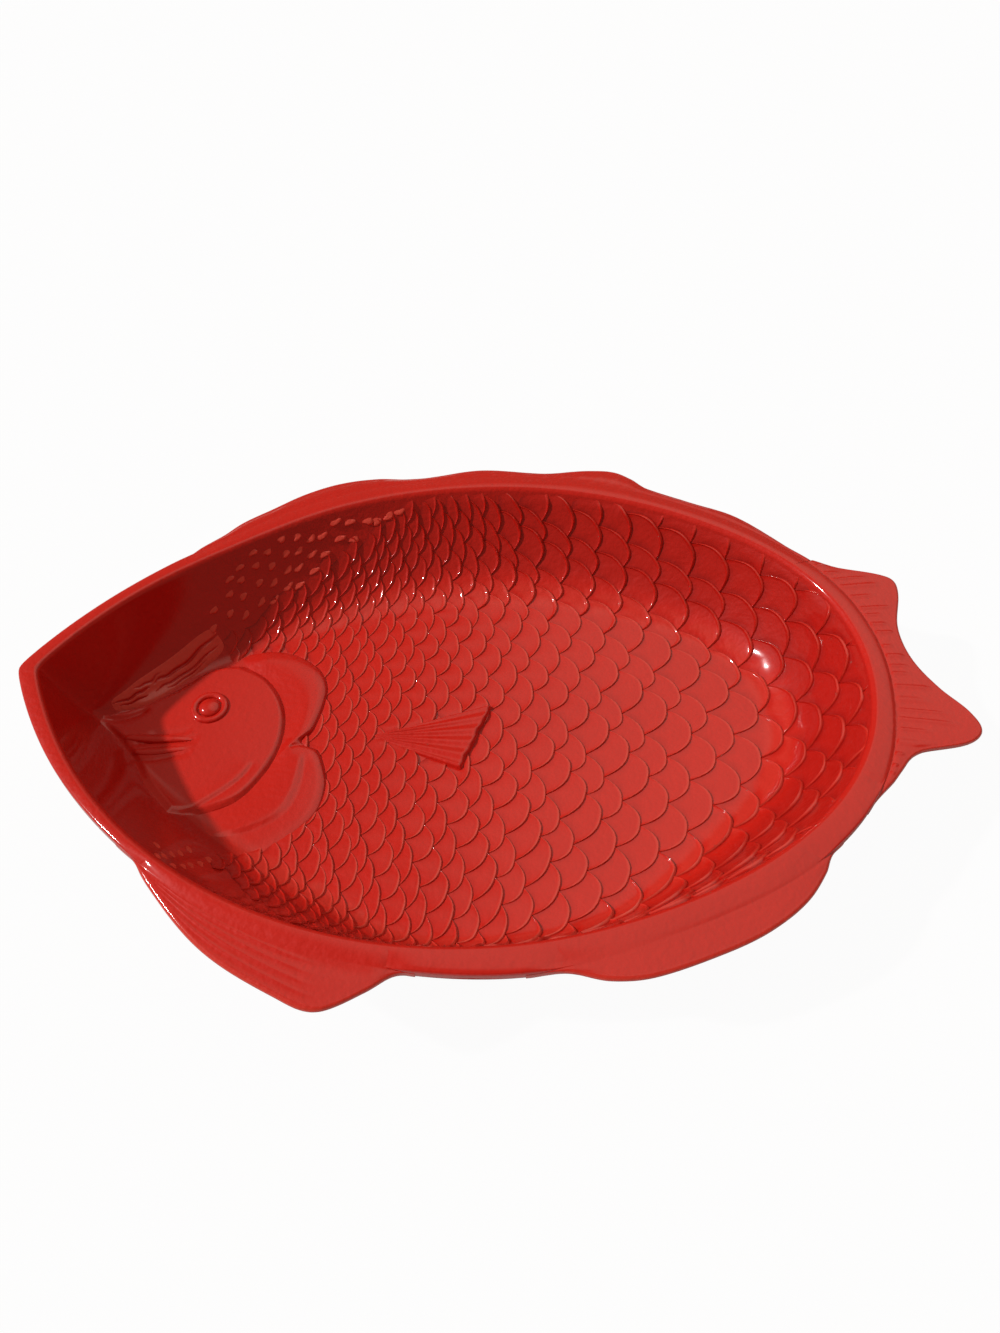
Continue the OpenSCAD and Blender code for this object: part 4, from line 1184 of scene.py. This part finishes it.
# %% [markdown]
# ## Table, light and camera
# The platter was photographed from above, with one hard lamp on its left that throws the rim's shadow over
# the head. A sun lamp with a small disc gives that shadow and the sparks on the glaze. The rest of the room
# is a dim, warm sky with one pale, soft patch high behind the platter: the floor and the rim mirror that
# patch and get a sheen, while the walls mirror the dark rest of the room and stay deep red. The table is
# plain white paper that glows a little to the camera, so that only a faint shadow is left on it.

# %% Pale floor
FLOOR_HALF = 4.0
FLOOR_GAP = 0.0002
PAPER_WHITE = (0.62, 0.61, 0.60, 1)
PAPER_GLOW = 0.96
floor_mesh = bpy.data.meshes.new("pale_floor")
floor_z = cad_low.z - FLOOR_GAP
floor_corners = [(FLOOR_HALF * x, FLOOR_HALF * y, floor_z) for x, y in ((-1, -1), (1, -1), (1, 1), (-1, 1))]
floor_mesh.from_pydata(floor_corners, [], [(0, 1, 2, 3)])
pale_floor = bpy.data.objects.new("pale_floor", floor_mesh)
bpy.context.collection.objects.link(pale_floor)
paper = Finish("pale_paper")
paper.set(Base_Color=PAPER_WHITE, Roughness=0.9)
seen = paper.node("LightPath", out="Is Camera Ray")
glow = paper.node("Emission", sockets={"Color": (1, 1, 1, 1), "Strength": 1.0})
matt = Socket(paper, paper.surface.outputs["BSDF"])
paper_mix = paper.node("MixShader", sockets={0: seen * PAPER_GLOW, 1: matt, 2: glow})
paper.feed(paper.tree.nodes["Material Output"].inputs["Surface"], paper_mix)
floor_mesh.materials.append(paper.material)
print("floor at z =", floor_z)


# %% Lamps and surroundings
def add_lamp(name, kind, place, aim, **settings):
    """A lamp at a place, turned to shine at a point."""
    data = bpy.data.lights.new(name, kind)
    for setting, value in settings.items():
        setattr(data, setting, value)
    lamp = bpy.data.objects.new(name, data)
    lamp.location = place
    lamp.rotation_euler = (Vector(aim) - Vector(place)).to_track_quat("-Z", "Y").to_euler()
    bpy.context.collection.objects.link(lamp)
    return lamp


SUN_FROM = (-1.0, -0.03, 0.87)
SUN_POWER = 2.75
SUN_DISC = math.radians(2.5)
PATCH_WAY = (0.30, 0.42, 0.855)
ROOM_COLOUR = (0.28, 0.13, 0.095, 1)
PATCH_COLOUR = (0.84, 0.76, 0.62, 1)
key = add_lamp("key_sun", "SUN", SUN_FROM, (0, 0, 0), energy=SUN_POWER, angle=SUN_DISC)
world = bpy.data.worlds.new("dim_room")
world.use_nodes = True
sky = Nodes(world.node_tree)
way_out = sky.node("TexCoord", out="Generated")


def towards(direction, first, full):
    """Share from 0 to 1 of the sky that faces a direction, between two cosines of the angle to it."""
    facing = sky.node("VectorMath", {"operation": "DOT_PRODUCT"}, {0: way_out, 1: direction}, out="Value")
    return sky.node("MapRange", {"interpolation_type": "SMOOTHSTEP"},
                    {"Value": facing, "From Min": first, "From Max": full})


shade = sky.blend(towards(PATCH_WAY, 0.75, 0.95), ROOM_COLOUR, PATCH_COLOUR)
sky.feed(world.node_tree.nodes["Background"].inputs["Color"], shade)
bpy.context.scene.world = world
print("lamp:", key.name, "sky nodes:", len(sky.tree.nodes))

# %% Camera at the photograph's angle
LOOK_AT = Vector(CENTRE) + Vector((0.0, 0.0054, 0.050))
DISTANCE = 0.440
LENS = 27.0
pitch, yaw = math.radians(52), math.radians(1.5)
gaze = Vector((-math.sin(yaw) * math.cos(pitch), math.cos(yaw) * math.cos(pitch), -math.sin(pitch)))
camera_data = bpy.data.cameras.new("camera")
camera_data.sensor_width = 36
camera_data.lens = LENS
camera_data.clip_start = 0.01
camera = bpy.data.objects.new("camera", camera_data)
camera.location = LOOK_AT - DISTANCE * gaze
camera.rotation_euler = gaze.to_track_quat("-Z", "Y").to_euler()
bpy.context.collection.objects.link(camera)
bpy.context.scene.camera = camera
bpy.context.scene.view_settings.view_transform = "Standard"
print("camera at", [round(v, 4) for v in camera.location])
